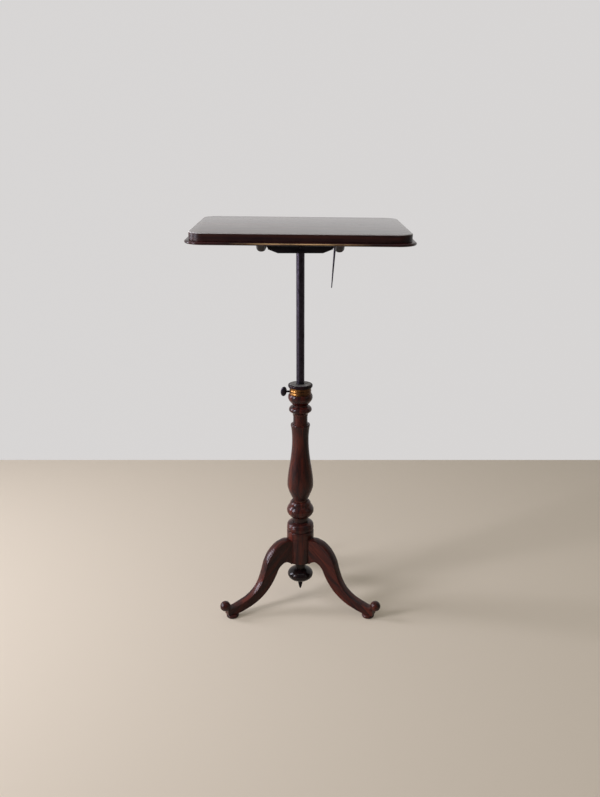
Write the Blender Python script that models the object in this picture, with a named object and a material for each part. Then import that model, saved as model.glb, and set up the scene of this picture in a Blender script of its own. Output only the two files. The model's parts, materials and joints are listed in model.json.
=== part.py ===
"""Reading stand: a tilting top on an iron rod that slides and turns in a turned tripod column.

Metres, +Z up, floor at zero, the reader on the -Y side. The column's turnings are stacked from the floor up,
and the parts of the top are laid out from the axis that the top tilts on.
"""
import math

import bmesh
import bpy
from mathutils import Matrix, Vector

# Clearances and facets
GAP = 0.0003
OVERRUN = 0.004
TURNED_STEPS = 24
SMALL_STEPS = 16
SCREW_STEPS = 10

# Reading top
TOP_WIDTH = 0.536
TOP_DEPTH = 0.385
TOP_FORWARD = 0.010
TOP_CORNER_RADIUS = 0.038
TOP_TILT = math.radians(2.0)
TOP_LEAN = math.radians(0.6)
BOARD_THICKNESS = 0.0188
BOARD_ARRIS_RADIUS = 0.0022
CORNER_STEPS = 6

# Moulding under the board's edge, in four mitred lengths
MOULDING_REACH = 0.0106
MOULDING_HEIGHT = 0.0082
MOULDING_COVE_DROP = 0.0014
MOULDING_WIDTH = 0.030
NOSE_STEPS = 5

# Bearers under the board, which carry the pivots and end just short of the back moulding
BEARER_TO_MOULDING = 0.0025
BEARER_LENGTH = TOP_DEPTH - 2 * (TOP_FORWARD + MOULDING_WIDTH + BEARER_TO_MOULDING)
BEARER_WIDTH = 0.0255
BEARER_DEPTH = 0.0482
BEARER_TIP_DEPTH = 0.0090
BEARER_FLAT_LENGTH = 0.060
BEARER_SHOULDER_LENGTH = 0.045
BEARER_EDGE_ROUND = 0.0115
BEARER_EDGE_STEPS = 4
BEARER_SCREW_SHARES = (-0.85, -0.55, 0.55, 0.85)
SCREW_HEAD_RADIUS = 0.0042
SCREW_HEAD_DEPTH = 0.0030
SCREW_SHANK_RADIUS = 0.0020
SCREW_IN_BOARD = 0.010

# Block on the rod's head, between the bearers
BLOCK_LENGTH = 0.169
BLOCK_THICKNESS = 0.044
BLOCK_CHAMFER_LENGTH = 0.026
BLOCK_CHAMFER_RISE = 0.010
BLOCK_CROWN_STEPS = 10
PIVOT_OVER_BLOCK_FOOT = 0.0212
PIVOT_TO_MOULDING = 0.024
WASHER_THICKNESS = 0.0029
WASHER_RADIUS = 0.0100
PIN_RADIUS = 0.0040
PIN_HEAD_RADIUS = 0.0065
PIN_HEAD_DEPTH = 0.0030
PIN_IN_BLOCK = 0.025

# Iron rod, its cross pin and the bush that it turns in at its foot
ROD_RADIUS = 0.0111
ROD_CLEARANCE = 0.0008
ROD_EXPOSED = 0.3568
ROD_IN_COLUMN = 0.1347
ROD_IN_BLOCK = 0.0332
CROSS_PIN_RADIUS = 0.0025
CROSS_PIN_RISE = 0.0125
BUSH_RADIUS = 0.0115
BUSH_HEIGHT = 0.0140
BUSH_FLOOR = 0.0030
ROD_SPIGOT_RADIUS = 0.0070

# Hanging stay and the staple that it hangs from
STAY_LENGTH = 0.148
STAY_ROOT_RADIUS = 0.0035
STAY_TIP_RADIUS = 0.0014
STAY_LEAN = math.radians(3.5)
STAY_EYE_RADIUS = 0.0050
STAY_EYE_HOLE = 0.0020
STAY_EYE_THICKNESS = 0.0030
STAY_BACK = 0.090
STAY_INSET = 0.0086
STAPLE_WIRE_RADIUS = 0.0015
STAPLE_SPAN = 0.0080
STAPLE_DROP = 0.0060
STAPLE_IN_BEARER = 0.0068
STAPLE_BEND_SHARE = 0.28

# Feet
FOOT_CIRCLE_RADIUS = 0.2228
PAD_RADIUS = 0.0178
PAD_HEIGHT = 0.0117
PAD_SOLE_RADIUS = 0.0130
PAD_SEAT_RADIUS = 0.0120
PAD_SPIGOT_RADIUS = 0.0045
PAD_SPIGOT_LENGTH = 0.0090
PAD_BELLY_SHARE = 0.5
PAD_STEPS = 4
BALL_RADIUS = 0.0146
BALL_OUT = 0.0220
BALL_HEIGHT = 0.0398
BALL_STEPS = 8

# Cabriole legs, dovetailed into the drum
LEG_COUNT = 3
LEG_WIDTH = 0.0310
LEG_TOE_WIDTH = 0.0220
TOE_BEYOND_FOOT = 0.0182
LEG_CURVE_STEPS = 2
TONGUE_DEPTH = 0.0140
TONGUE_NECK_WIDTH = 0.0140
TONGUE_BACK_WIDTH = 0.0180
TONGUE_HEIGHT = 0.065
LEG_ROOT_DEPTH = 0.0090
# Outline from the drum out to the toe, as (way out, way up), along the crest and along the underside
LEG_CREST_SHARES = ((0.0, 1.0), (0.065, 1.006), (0.187, 0.967), (0.302, 0.865), (0.381, 0.722), (0.427, 0.563),
                    (0.484, 0.404), (0.565, 0.282), (0.684, 0.192), (0.816, 0.141), (0.906, 0.115), (1.0, 0.112))
LEG_UNDER_SHARES = ((0.0, 0.60), (0.034, 0.631), (0.088, 0.652), (0.145, 0.628), (0.202, 0.568), (0.253, 0.453),
                    (0.325, 0.325), (0.424, 0.206), (0.565, 0.1), (0.729, 0.032), (0.856, 0.0), (1.0, 0.0))
# Half of the leg's section, as (way across, way up), from beside the crest to the underside
LEG_SECTION_SHARES = ((0.55, 0.985), (0.90, 0.95), (1.0, 0.86), (1.0, 0.06), (0.90, 0.0))

# Drum that takes the legs
DRUM_CLEAR_OF_FLOOR = 0.1225
DRUM_RADIUS = 0.0389
DRUM_HEIGHT = 0.0980
DRUM_EDGE_ROUND = 0.0022
DRUM_BEAD_HEIGHT = 0.0044
DRUM_LINE_BELOW_TOP = 0.0205
DRUM_LINE_DEPTH = 0.0010
DRUM_LINE_WIDTH = 0.0016
DRUM_FLOOR_THICKNESS = 0.0495
TENON_RADIUS = 0.0170
TENON_LENGTH = 0.0150

# Finial and spike under the drum
FINIAL_RADIUS = 0.0371
FINIAL_CORE_RADIUS = 0.0060
FINIAL_HALF_HEIGHT = 0.0196
FINIAL_MID_BELOW_DRUM = 0.0464
FINIAL_NECK_RADIUS = 0.0150
FINIAL_FLARE_RADIUS = 0.0200
FINIAL_FLARE_HEIGHT = 0.0110
FINIAL_SPIGOT_RADIUS = 0.0080
FINIAL_SPIGOT_LENGTH = 0.022
SPIKE_COLLAR_RADIUS = 0.0080
SPIKE_COLLAR_HEIGHT = 0.0085
SPIKE_SEAT_RADIUS = 0.0095
SPIKE_ROOT_RADIUS = 0.0066
SPIKE_LENGTH = 0.0235
SPIKE_TIP_RADIUS = 0.0012
SPIKE_SHANK_RADIUS = 0.0030
SPIKE_SHANK_LENGTH = 0.012

# Knop: broad bead, dome, neck, ball, quirk and step
KNOP_FOOT_RADIUS = 0.0362
KNOP_BEAD_RADIUS = 0.0389
KNOP_BEAD_HEIGHT = 0.0156
KNOP_DOME_RADIUS = 0.0380
KNOP_DOME_HEIGHT = 0.0102
KNOP_NECK_RADIUS = 0.0225
KNOP_NECK_HEIGHT = 0.0139
KNOP_BALL_RADIUS = 0.0387
KNOP_BALL_HALF_HEIGHT = 0.0270
KNOP_BALL_UNDER = 0.0220
KNOP_BALL_OVER = 0.0165
KNOP_QUIRK_DEPTH = 0.0014
KNOP_QUIRK_WIDTH = 0.0012
KNOP_STEP_RADIUS = 0.0303
KNOP_STEP_HEIGHT = 0.0113

# Baluster: neck, belly, waist and shoulder ring
BALUSTER_NECK_RADIUS = 0.0216
BALUSTER_NECK_HEIGHT = 0.0043
BELLY_RADIUS = 0.0370
BELLY_RISE = 0.0478
WAIST_RADIUS = 0.0233
WAIST_RISE = 0.1350
WAIST_FALL_SHARE = 0.85
SHOULDER_RADIUS = 0.0262
SHOULDER_RISE = 0.0375
SHOULDER_RING_RADIUS = 0.0272
SHOULDER_RING_HEIGHT = 0.0067

# Collar turning: neck, fillet, round-topped disc, waist, cup and bead, and the core above them
COLLAR_FOOT_RADIUS = 0.0212
COLLAR_NECK_RADIUS = 0.0200
COLLAR_NECK_HEIGHT = 0.0287
COLLAR_FILLET_RADIUS = 0.0210
COLLAR_FILLET_HEIGHT = 0.0034
COLLAR_DISC_RADIUS = 0.0317
COLLAR_DISC_UNDER = 0.0125
COLLAR_DISC_EDGE = 0.0016
COLLAR_DISC_OVER = 0.0100
COLLAR_WAIST_RADIUS = 0.0208
COLLAR_WAIST_HEIGHT = 0.0034
COLLAR_CUP_RISE = 0.0215
COLLAR_BEAD_RADIUS = 0.0341
COLLAR_BEAD_CROWN = 0.0100
COLLAR_CORE_RADIUS = 0.0270

# Brass band, rim cap and plate on the collar's core
BAND_HEIGHT = 0.0179
BAND_RADIUS = 0.0302
BAND_GROOVE_DEPTH = 0.0008
BAND_GROOVE_COUNT = 2
CAP_RADIUS = 0.0340
CAP_UNDERSIDE_RADIUS = 0.0309
CAP_HEIGHT = 0.0092
CAP_BELLY_SHARE = 0.62
PLATE_RADIUS = 0.0293
PLATE_THICKNESS = 0.0020
PLATE_PROUD = 0.0005
PLATE_HOLE_RADIUS = 0.0115

# Thumbscrew, its threaded insert and the shoe that it drives
CLAMP_RISE = 0.0057
CLAMP_STEM_RADIUS = 0.0028
CLAMP_STEM_CLEARANCE = 0.0005
CLAMP_STEM_OUT = 0.0073
CLAMP_INSERT_RADIUS = 0.0045
CLAMP_INSERT_LENGTH = 0.0112
SHOE_RADIUS = 0.0042
SHOE_THICKNESS = 0.0032
THUMB_LENGTH = 0.0168
THUMB_HEIGHT = 0.0274
THUMB_THICKNESS = 0.0080
THUMB_LEAN = math.radians(8.0)
THUMB_EDGE_SHARE = 0.8

# Heights and places that follow from the sizes above
DRUM_TOP = DRUM_CLEAR_OF_FLOOR + DRUM_HEIGHT
LEG_TOP = DRUM_TOP - DRUM_LINE_BELOW_TOP - DRUM_LINE_WIDTH / 2
KNOP_BASE = DRUM_TOP + GAP
KNOP_HEIGHT = (KNOP_BEAD_HEIGHT + KNOP_DOME_HEIGHT + KNOP_NECK_HEIGHT + KNOP_BALL_UNDER + KNOP_BALL_OVER
               + KNOP_QUIRK_WIDTH + KNOP_STEP_HEIGHT)
BALUSTER_BASE = KNOP_BASE + KNOP_HEIGHT + GAP
BALUSTER_HEIGHT = BALUSTER_NECK_HEIGHT + BELLY_RISE + WAIST_RISE + SHOULDER_RISE + SHOULDER_RING_HEIGHT
COLLAR_BASE = BALUSTER_BASE + BALUSTER_HEIGHT + GAP
COLLAR_DISC_HEIGHT = COLLAR_DISC_UNDER + COLLAR_DISC_EDGE + COLLAR_DISC_OVER
COLLAR_HEIGHT = (COLLAR_NECK_HEIGHT + COLLAR_DISC_HEIGHT + COLLAR_WAIST_HEIGHT + COLLAR_CUP_RISE
                 + COLLAR_BEAD_CROWN)
BAND_BASE = COLLAR_BASE + COLLAR_HEIGHT + GAP
CAP_BASE = BAND_BASE + BAND_HEIGHT + GAP
COLUMN_TOP = CAP_BASE + CAP_HEIGHT + PLATE_PROUD
PLATE_BASE = COLUMN_TOP - PLATE_THICKNESS
CORE_TOP = PLATE_BASE - GAP
CLAMP_HEIGHT = BAND_BASE + CLAMP_RISE
BORE_RADIUS = ROD_RADIUS + ROD_CLEARANCE
ROD_FOOT = COLUMN_TOP - ROD_IN_COLUMN
BLOCK_FOOT = COLUMN_TOP + ROD_EXPOSED
PIVOT_HEIGHT = BLOCK_FOOT + PIVOT_OVER_BLOCK_FOOT
BOARD_FOOT = PIVOT_TO_MOULDING + MOULDING_HEIGHT + GAP
BEARER_TOP = BOARD_FOOT - GAP
BEARER_INNER = BLOCK_LENGTH / 2 + WASHER_THICKNESS + 2 * GAP
BEARER_OUTER = BEARER_INNER + BEARER_WIDTH
BEARER_MID = (BEARER_INNER + BEARER_OUTER) / 2
TOE_REACH = FOOT_CIRCLE_RADIUS + TOE_BEYOND_FOOT
LEG_ROOT = DRUM_RADIUS - LEG_ROOT_DEPTH
SOLE = PAD_HEIGHT + GAP


def clear_scene():
    """Start from nothing."""
    for old in list(bpy.data.objects):
        bpy.data.objects.remove(old, do_unlink=True)


def make_material(name, colour, roughness, metallic=0.0):
    """One plain surface finish."""
    mat = bpy.data.materials.new(name)
    mat.use_nodes = True
    shader = mat.node_tree.nodes["Principled BSDF"]
    shader.inputs["Base Color"].default_value = (*colour, 1.0)
    shader.inputs["Roughness"].default_value = roughness
    shader.inputs["Metallic"].default_value = metallic
    mat.diffuse_color = (*colour, 1.0)
    return mat


def make_axis(name, parent=None, location=(0, 0, 0), rotation=(0, 0, 0)):
    """An empty that marks a joint's axis or carries a group of pieces."""
    axis = bpy.data.objects.new(name, None)
    bpy.context.collection.objects.link(axis)
    axis.parent = parent
    axis.location = location
    axis.rotation_euler = rotation
    return axis


def make_mesh(name, bm, sharp=35.0):
    """Turn a bmesh into a mesh, shaded smooth between its sharp edges."""
    bmesh.ops.recalc_face_normals(bm, faces=bm.faces)
    mesh = bpy.data.meshes.new(name)
    bm.to_mesh(mesh)
    bm.free()
    mesh.shade_smooth()
    mesh.set_sharp_from_angle(angle=math.radians(sharp))
    return mesh


def place_mesh(name, mesh, mat=None, parent=None, location=(0, 0, 0), rotation=(0, 0, 0)):
    """A named object on a mesh, which other objects may share."""
    obj = bpy.data.objects.new(name, mesh)
    bpy.context.collection.objects.link(obj)
    if mat and not mesh.materials:
        mesh.materials.append(mat)
    obj.parent = parent
    obj.location = location
    obj.rotation_euler = rotation
    return obj


def make_object(name, bm, mat=None, parent=None, location=(0, 0, 0), rotation=(0, 0, 0)):
    """A named object on a mesh of its own."""
    return place_mesh(name, make_mesh(name, bm), mat, parent, location, rotation)


def make_tool(name, bm, parent=None, location=(0, 0, 0), rotation=(0, 0, 0)):
    """A shape that cuts or joins another piece and isn't part of the stand."""
    tool = make_object(name, bm, None, parent, location, rotation)
    tool.hide_render = True
    tool.display_type = "WIRE"
    return tool


def combine(obj, tool, operation="DIFFERENCE"):
    """Cut or join a tool shape with the EXACT solver."""
    mod = obj.modifiers.new(tool.name, "BOOLEAN")
    mod.operation = operation
    mod.solver = "EXACT"
    mod.object = tool


def turn(outline, steps, along_x=False):
    """Spin (radius, height) points about the axis; an outline that starts off the axis is closed first."""
    bm = bmesh.new()
    verts = [bm.verts.new((r, 0, z)) for r, z in outline]
    edges = [bm.edges.new(pair) for pair in zip(verts, verts[1:])]
    if outline[0][0] > 0:
        edges.append(bm.edges.new((verts[-1], verts[0])))
    bmesh.ops.spin(bm, geom=verts + edges, cent=(0, 0, 0), axis=(0, 0, 1), angle=math.tau, steps=steps,
                   use_merge=True)
    bmesh.ops.remove_doubles(bm, verts=bm.verts, dist=GAP / 100)
    if along_x:
        bmesh.ops.rotate(bm, verts=bm.verts, matrix=Matrix.Rotation(math.pi / 2, 3, "Y"))
    return bm


def bar(radius, low, high, steps, along_x=False):
    """A plain round bar between two places on its axis."""
    return turn([(0, low), (radius, low), (radius, high), (0, high)], steps, along_x)


def moved(bm, offset=(0, 0, 0), rotation=None):
    """A bmesh turned and then shifted."""
    if rotation:
        bmesh.ops.rotate(bm, verts=bm.verts, matrix=rotation)
    bmesh.ops.translate(bm, verts=bm.verts, vec=offset)
    return bm


def join_meshes(parts):
    """Several bmeshes as one tool, their solids kept apart."""
    whole = bmesh.new()
    for part in parts:
        mesh = bpy.data.meshes.new("part")
        part.to_mesh(mesh)
        part.free()
        whole.from_mesh(mesh)
        bpy.data.meshes.remove(mesh)
    return whole


def stacked_rings(rings):
    """Skin a stack of rings of equal count and close both ends."""
    bm = bmesh.new()
    loops = [[bm.verts.new(point) for point in ring] for ring in rings]
    count = len(loops[0])
    for lower, upper in zip(loops, loops[1:]):
        for i in range(count):
            j = (i + 1) % count
            bm.faces.new((lower[i], lower[j], upper[j], upper[i]))
    bm.faces.new(loops[0])
    bm.faces.new(loops[-1])
    return bm


def prism(outline, low, high):
    """An outline in plan raised from one height to another."""
    return stacked_rings([[(x, y, z) for x, y in outline] for z in (low, high)])


def bulge(core, out, mid, half, low, high, steps):
    """An ellipse about (core, mid), from radius low below its middle to radius high above it."""
    reach = out - core
    start = -math.acos(max(-1.0, min(1.0, (low - core) / reach)))
    stop = math.acos(max(-1.0, min(1.0, (high - core) / reach)))
    angles = [start + (stop - start) * i / steps for i in range(steps + 1)]
    return [(core + reach * math.cos(a), mid + half * math.sin(a)) for a in angles]


def sweep(start, stop, steps, rule):
    """Points after start up to stop, the radius following a rule from 0 to 1."""
    shares = [i / steps for i in range(1, steps + 1)]
    return [(start[0] + (stop[0] - start[0]) * rule(t), start[1] + (stop[1] - start[1]) * t) for t in shares]


def ogee(t):
    """Slow at both ends."""
    return (1 - math.cos(math.pi * t)) / 2


def swelling(t):
    """Quick at first with a slight hollow, slow at the end."""
    return math.sin(math.pi * t / 2) * 4 / 5 + ogee(t) / 5


def rounded_rectangle(width, depth, radius):
    """Corner points of a rectangle with round corners, about the middle."""
    points = []
    for quarter, (sx, sy) in enumerate(((1, 1), (-1, 1), (-1, -1), (1, -1))):
        for i in range(CORNER_STEPS + 1):
            angle = math.pi / 2 * (quarter + i / CORNER_STEPS)
            points.append((sx * (width / 2 - radius) + radius * math.cos(angle),
                           sy * (depth / 2 - radius) + radius * math.sin(angle)))
    return points


def top_outline(out):
    """Plan of the reading top, grown outwards by a distance."""
    outline = rounded_rectangle(TOP_WIDTH + 2 * out, TOP_DEPTH + 2 * out, TOP_CORNER_RADIUS + out)
    return [(x, y - TOP_FORWARD) for x, y in outline]


def make_board(parent, mat):
    """The board, its upper edge eased all round."""
    high = BOARD_FOOT + BOARD_THICKNESS
    rings = [[(x, y, BOARD_FOOT) for x, y in top_outline(0)]]
    for i in range(3):
        angle = math.pi / 2 * i / 2
        inset = BOARD_ARRIS_RADIUS * (1 - math.cos(angle))
        height = high - BOARD_ARRIS_RADIUS * (1 - math.sin(angle))
        rings.append([(x, y, height) for x, y in top_outline(-inset)])
    board = make_object("top_board", stacked_rings(rings), mat, parent)
    holes = [moved(bar(SCREW_SHANK_RADIUS + GAP, BOARD_FOOT - OVERRUN, BOARD_FOOT + SCREW_IN_BOARD + GAP,
                       SCREW_STEPS), (x, y, 0)) for x, y in screw_places(-1) + screw_places(1)]
    combine(board, make_tool("board_screw_holes", join_meshes(holes), parent))


def moulding_section():
    """Section of the edge moulding, as (distance out from the board's side, height over the tilt axis)."""
    low = PIVOT_TO_MOULDING
    high = low + MOULDING_HEIGHT
    nose = (MOULDING_HEIGHT - MOULDING_COVE_DROP) / 2
    section = [(-MOULDING_WIDTH, low), (-MOULDING_WIDTH, high), (0, high)]
    for i in range(NOSE_STEPS + 1):
        angle = math.pi / 2 - math.pi * i / NOSE_STEPS
        section.append((MOULDING_REACH - nose + nose * math.cos(angle), low + nose + nose * math.sin(angle)))
    return section


def make_mouldings(parent, mat):
    """Four mitred lengths under the board's margin, whose rounded noses stand out as a lip."""
    section = moulding_section()
    outlines = [top_outline(out) for out, height in section]
    total = len(outlines[0])
    for quarter, side in enumerate(("back", "left", "front", "right")):
        first = quarter * (CORNER_STEPS + 1) + CORNER_STEPS // 2
        rings = []
        for i in range(first, first + CORNER_STEPS + 2):
            rings.append([Vector((*outline[i % total], height))
                          for outline, (out, height) in zip(outlines, section)])
        for end, inner in ((rings[0], rings[1]), (rings[-1], rings[-2])):
            along = (inner[-1] - end[-1]).normalized()
            for point in end:
                point += along * GAP / 2
        make_object("moulding_" + side, stacked_rings(rings), mat, parent)


def screw_places(side):
    """Where one bearer's screws stand, in plan."""
    return [(side * BEARER_MID, share * BEARER_LENGTH / 2) for share in BEARER_SCREW_SHARES]


def bearer_foot(y):
    """Height of a bearer's underside over the tilt axis, at a place along it."""
    rise = (abs(y) - BEARER_FLAT_LENGTH / 2) / BEARER_SHOULDER_LENGTH
    return BEARER_TOP - BEARER_DEPTH + (BEARER_DEPTH - BEARER_TIP_DEPTH) * max(0.0, min(1.0, rise))


def facing(side):
    """Turn of a piece that lies along X, so that it points to the left or the right."""
    return (0, 0, 0 if side > 0 else math.pi)


def make_bearer(name, side, parent, mat):
    """A thin batten screwed under the board, with a deep lug at the pivot, rounded below."""
    half = BEARER_WIDTH / 2
    arc = [math.pi / 2 * i / BEARER_EDGE_STEPS for i in range(BEARER_EDGE_STEPS + 1)]
    lug = BEARER_FLAT_LENGTH / 2
    ends = (lug, lug + BEARER_SHOULDER_LENGTH, BEARER_LENGTH / 2)
    rings = []
    for y in [-end for end in reversed(ends)] + list(ends):
        ease = BEARER_EDGE_ROUND * (BEARER_TOP - bearer_foot(y)) / BEARER_DEPTH
        corner = bearer_foot(y) + ease
        right = [(half - ease + ease * math.cos(a), y, corner - ease * math.sin(a)) for a in arc]
        left = [(-x, y, z) for x, y, z in reversed(right)]
        rings.append([(-half, y, BEARER_TOP), (half, y, BEARER_TOP)] + right + left)
    bearer = make_object(name, stacked_rings(rings), mat, parent, (side * BEARER_MID, 0, 0))
    tools = []
    for x, y in screw_places(side):
        recess = bearer_foot(y) + SCREW_HEAD_DEPTH
        shape = [(0, recess - 3 * SCREW_HEAD_DEPTH), (SCREW_HEAD_RADIUS + GAP, recess - 3 * SCREW_HEAD_DEPTH),
                 (SCREW_HEAD_RADIUS + GAP, recess), (SCREW_SHANK_RADIUS + GAP, recess + SCREW_HEAD_DEPTH),
                 (SCREW_SHANK_RADIUS + GAP, BEARER_TOP + OVERRUN), (0, BEARER_TOP + OVERRUN)]
        tools.append(moved(turn(shape, SCREW_STEPS), (x, y, 0)))
    combine(bearer, make_tool(name + "_screw_holes", join_meshes(tools), parent))
    shoulder = BEARER_OUTER - PIN_HEAD_DEPTH - 2 * GAP
    bore = [(0, BEARER_INNER - OVERRUN), (PIN_RADIUS + GAP, BEARER_INNER - OVERRUN), (PIN_RADIUS + GAP, shoulder),
            (PIN_HEAD_RADIUS + GAP, shoulder), (PIN_HEAD_RADIUS + GAP, BEARER_OUTER + OVERRUN),
            (0, BEARER_OUTER + OVERRUN)]
    combine(bearer, make_tool(name + "_pin_bore", turn(bore, SMALL_STEPS, True), parent, rotation=facing(side)))
    return bearer


def make_bearer_screws(parent, mat):
    """The wood screws that hold the bearers to the board, heads sunk in the bearers' undersides."""
    for side, name in ((-1, "left"), (1, "right")):
        for number, (x, y) in enumerate(screw_places(side), 1):
            head = bearer_foot(y) + SCREW_HEAD_DEPTH
            top = BOARD_FOOT + SCREW_IN_BOARD
            shape = [(0, head - SCREW_HEAD_DEPTH / 2), (SCREW_HEAD_RADIUS, head - SCREW_HEAD_DEPTH / 2),
                     (SCREW_HEAD_RADIUS, head), (SCREW_SHANK_RADIUS, head + SCREW_HEAD_DEPTH),
                     (SCREW_SHANK_RADIUS, top - SCREW_SHANK_RADIUS), (0, top)]
            make_object("bearer_screw_%s_%d" % (name, number), turn(shape, SCREW_STEPS), mat, parent, (x, y, 0))


def make_block(rod_axis, tilt_axis, mat):
    """The cross block on the rod's head, round on top about the pivots, its lower ends chamfered."""
    half = BLOCK_THICKNESS / 2
    foot = -PIVOT_OVER_BLOCK_FOOT
    crown = [math.pi * i / BLOCK_CROWN_STEPS for i in range(BLOCK_CROWN_STEPS + 1)]
    section = [(half * math.cos(a), half * math.sin(a)) for a in crown]
    inner = BLOCK_LENGTH / 2 - BLOCK_CHAMFER_LENGTH
    rings = []
    for x, lift in ((-BLOCK_LENGTH / 2, BLOCK_CHAMFER_RISE), (-inner, 0), (inner, 0),
                    (BLOCK_LENGTH / 2, BLOCK_CHAMFER_RISE)):
        rings.append([(x, y, z) for y, z in section] + [(x, -half, foot + lift), (x, half, foot + lift)])
    block = make_object("pivot_block", stacked_rings(rings), mat, rod_axis, (0, 0, PIVOT_HEIGHT))
    rod_hole = bar(ROD_RADIUS + GAP, BLOCK_FOOT - OVERRUN, BLOCK_FOOT + ROD_IN_BLOCK + GAP, TURNED_STEPS)
    combine(block, make_tool("block_rod_bore", rod_hole, rod_axis))
    for side in (-1, 1):
        pin_hole = bar(PIN_RADIUS + GAP, BLOCK_LENGTH / 2 - PIN_IN_BLOCK - GAP, BLOCK_LENGTH / 2 + OVERRUN,
                       SMALL_STEPS, True)
        combine(block, make_tool("block_pin_bore", pin_hole, tilt_axis, rotation=facing(side)))
    cross = bar(CROSS_PIN_RADIUS + GAP, -half - OVERRUN, half + OVERRUN, SCREW_STEPS)
    cross_tool = make_tool("cross_pin_bore", cross, rod_axis, (0, 0, BLOCK_FOOT + CROSS_PIN_RISE),
                           (math.pi / 2, 0, 0))
    combine(block, cross_tool)
    return cross_tool


def make_pivot_pins(parent, mat):
    """Headed pins through the bearers into the block, with a friction washer on each."""
    inner = BLOCK_LENGTH / 2 - PIN_IN_BLOCK
    shoulder = BEARER_OUTER - PIN_HEAD_DEPTH - GAP
    pin = [(0, inner), (PIN_RADIUS, inner), (PIN_RADIUS, shoulder), (PIN_HEAD_RADIUS, shoulder),
           (PIN_HEAD_RADIUS, BEARER_OUTER - GAP), (0, BEARER_OUTER - GAP)]
    near = BEARER_INNER - GAP - WASHER_THICKNESS
    washer = [(PIN_RADIUS + GAP, near), (WASHER_RADIUS, near), (WASHER_RADIUS, near + WASHER_THICKNESS),
              (PIN_RADIUS + GAP, near + WASHER_THICKNESS)]
    for side, name in ((-1, "left"), (1, "right")):
        make_object("pivot_pin_" + name, turn(pin, SMALL_STEPS, True), mat, parent, rotation=facing(side))
        make_object("pivot_washer_" + name, turn(washer, SMALL_STEPS, True), mat, parent, rotation=facing(side))


def make_rod(parent, mat, cross_tool):
    """The round iron rod, pinned in the block, with a spigot at its foot."""
    top = BLOCK_FOOT + ROD_IN_BLOCK
    shoulder = ROD_FOOT + BUSH_HEIGHT + GAP
    foot = ROD_FOOT + BUSH_FLOOR + GAP
    shape = [(0, foot), (ROD_SPIGOT_RADIUS, foot), (ROD_SPIGOT_RADIUS, shoulder), (ROD_RADIUS, shoulder),
             (ROD_RADIUS, top), (0, top)]
    combine(make_object("rod", turn(shape, TURNED_STEPS), mat, parent), cross_tool)
    half = BLOCK_THICKNESS / 2 - GAP
    pin = bar(CROSS_PIN_RADIUS, -half, half, SCREW_STEPS)
    make_object("rod_cross_pin", pin, mat, parent, (0, 0, BLOCK_FOOT + CROSS_PIN_RISE), (math.pi / 2, 0, 0))


def make_foot_bush(parent, mat):
    """The cup at the rod's foot, which guides it in the bore and lets it turn."""
    inner = ROD_SPIGOT_RADIUS + GAP
    shape = [(0, ROD_FOOT), (BUSH_RADIUS, ROD_FOOT), (BUSH_RADIUS, ROD_FOOT + BUSH_HEIGHT),
             (inner, ROD_FOOT + BUSH_HEIGHT), (inner, ROD_FOOT + BUSH_FLOOR), (0, ROD_FOOT + BUSH_FLOOR)]
    make_object("rod_foot_bush", turn(shape, TURNED_STEPS), mat, parent)


def wire(path, radius, sides):
    """Round wire along a path in the XZ plane."""
    points = [Vector((x, 0, z)) for x, z in path]
    angles = [math.tau * k / sides for k in range(sides)]
    rings = []
    for i, point in enumerate(points):
        before = points[max(i - 1, 0)]
        after = points[min(i + 1, len(points) - 1)]
        across = (after - before).normalized().cross(Vector((0, 1, 0)))
        rings.append([point + across * radius * math.cos(a) + Vector((0, radius * math.sin(a), 0))
                      for a in angles])
    return stacked_rings(rings)


def staple_path():
    """The staple's bent wire: down one leg, across, and up the other, about the middle of its crossbar."""
    half = STAPLE_SPAN / 2
    bend = STAPLE_SPAN * STAPLE_BEND_SHARE
    left = [(-half, STAPLE_DROP + STAPLE_IN_BEARER)]
    for i in range(4):
        angle = math.pi / 2 * i / 3
        left.append((-half + bend * (1 - math.cos(angle)), bend * (1 - math.sin(angle))))
    return left + [(-x, z) for x, z in reversed(left)]


def make_stay(parent, mat, bearer):
    """The tapered stay, hung by its eye from a staple under the right bearer."""
    pivot = (BEARER_INNER + STAY_INSET, STAY_BACK, bearer_foot(STAY_BACK) - STAPLE_DROP)
    make_object("stay_staple", wire(staple_path(), STAPLE_WIRE_RADIUS, SCREW_STEPS), mat, parent, pivot)
    legs = [moved(bar(STAPLE_WIRE_RADIUS + GAP, 0, STAPLE_DROP + STAPLE_IN_BEARER + GAP, SCREW_STEPS),
                  (side * STAPLE_SPAN / 2, 0, 0)) for side in (-1, 1)]
    combine(bearer, make_tool("staple_holes", join_meshes(legs), parent, pivot))
    axis = make_axis("stay_axis", parent, pivot, (-TOP_TILT, 0, 0))
    half = STAY_EYE_THICKNESS / 2
    ring = [(STAY_EYE_HOLE, -half), (STAY_EYE_RADIUS, -half), (STAY_EYE_RADIUS, half), (STAY_EYE_HOLE, half)]
    stay = make_object("prop_stay", turn(ring, SMALL_STEPS, True), mat, axis)
    root = (STAY_EYE_HOLE + STAY_EYE_RADIUS) / 2
    shank = [(0, -STAY_LENGTH), (STAY_TIP_RADIUS, -STAY_LENGTH + STAY_TIP_RADIUS),
             (STAY_ROOT_RADIUS, -STAY_EYE_RADIUS - STAY_ROOT_RADIUS), (half, -root), (0, -root)]
    tool = make_tool("stay_shank", turn(shank, SCREW_STEPS), axis, rotation=(0, STAY_LEAN, 0))
    combine(stay, tool, "UNION")


def leg_angles():
    """Directions of the legs in plan: one straight back and two towards the reader."""
    return [math.pi / 2 + math.tau * i / LEG_COUNT for i in range(LEG_COUNT)]


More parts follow.
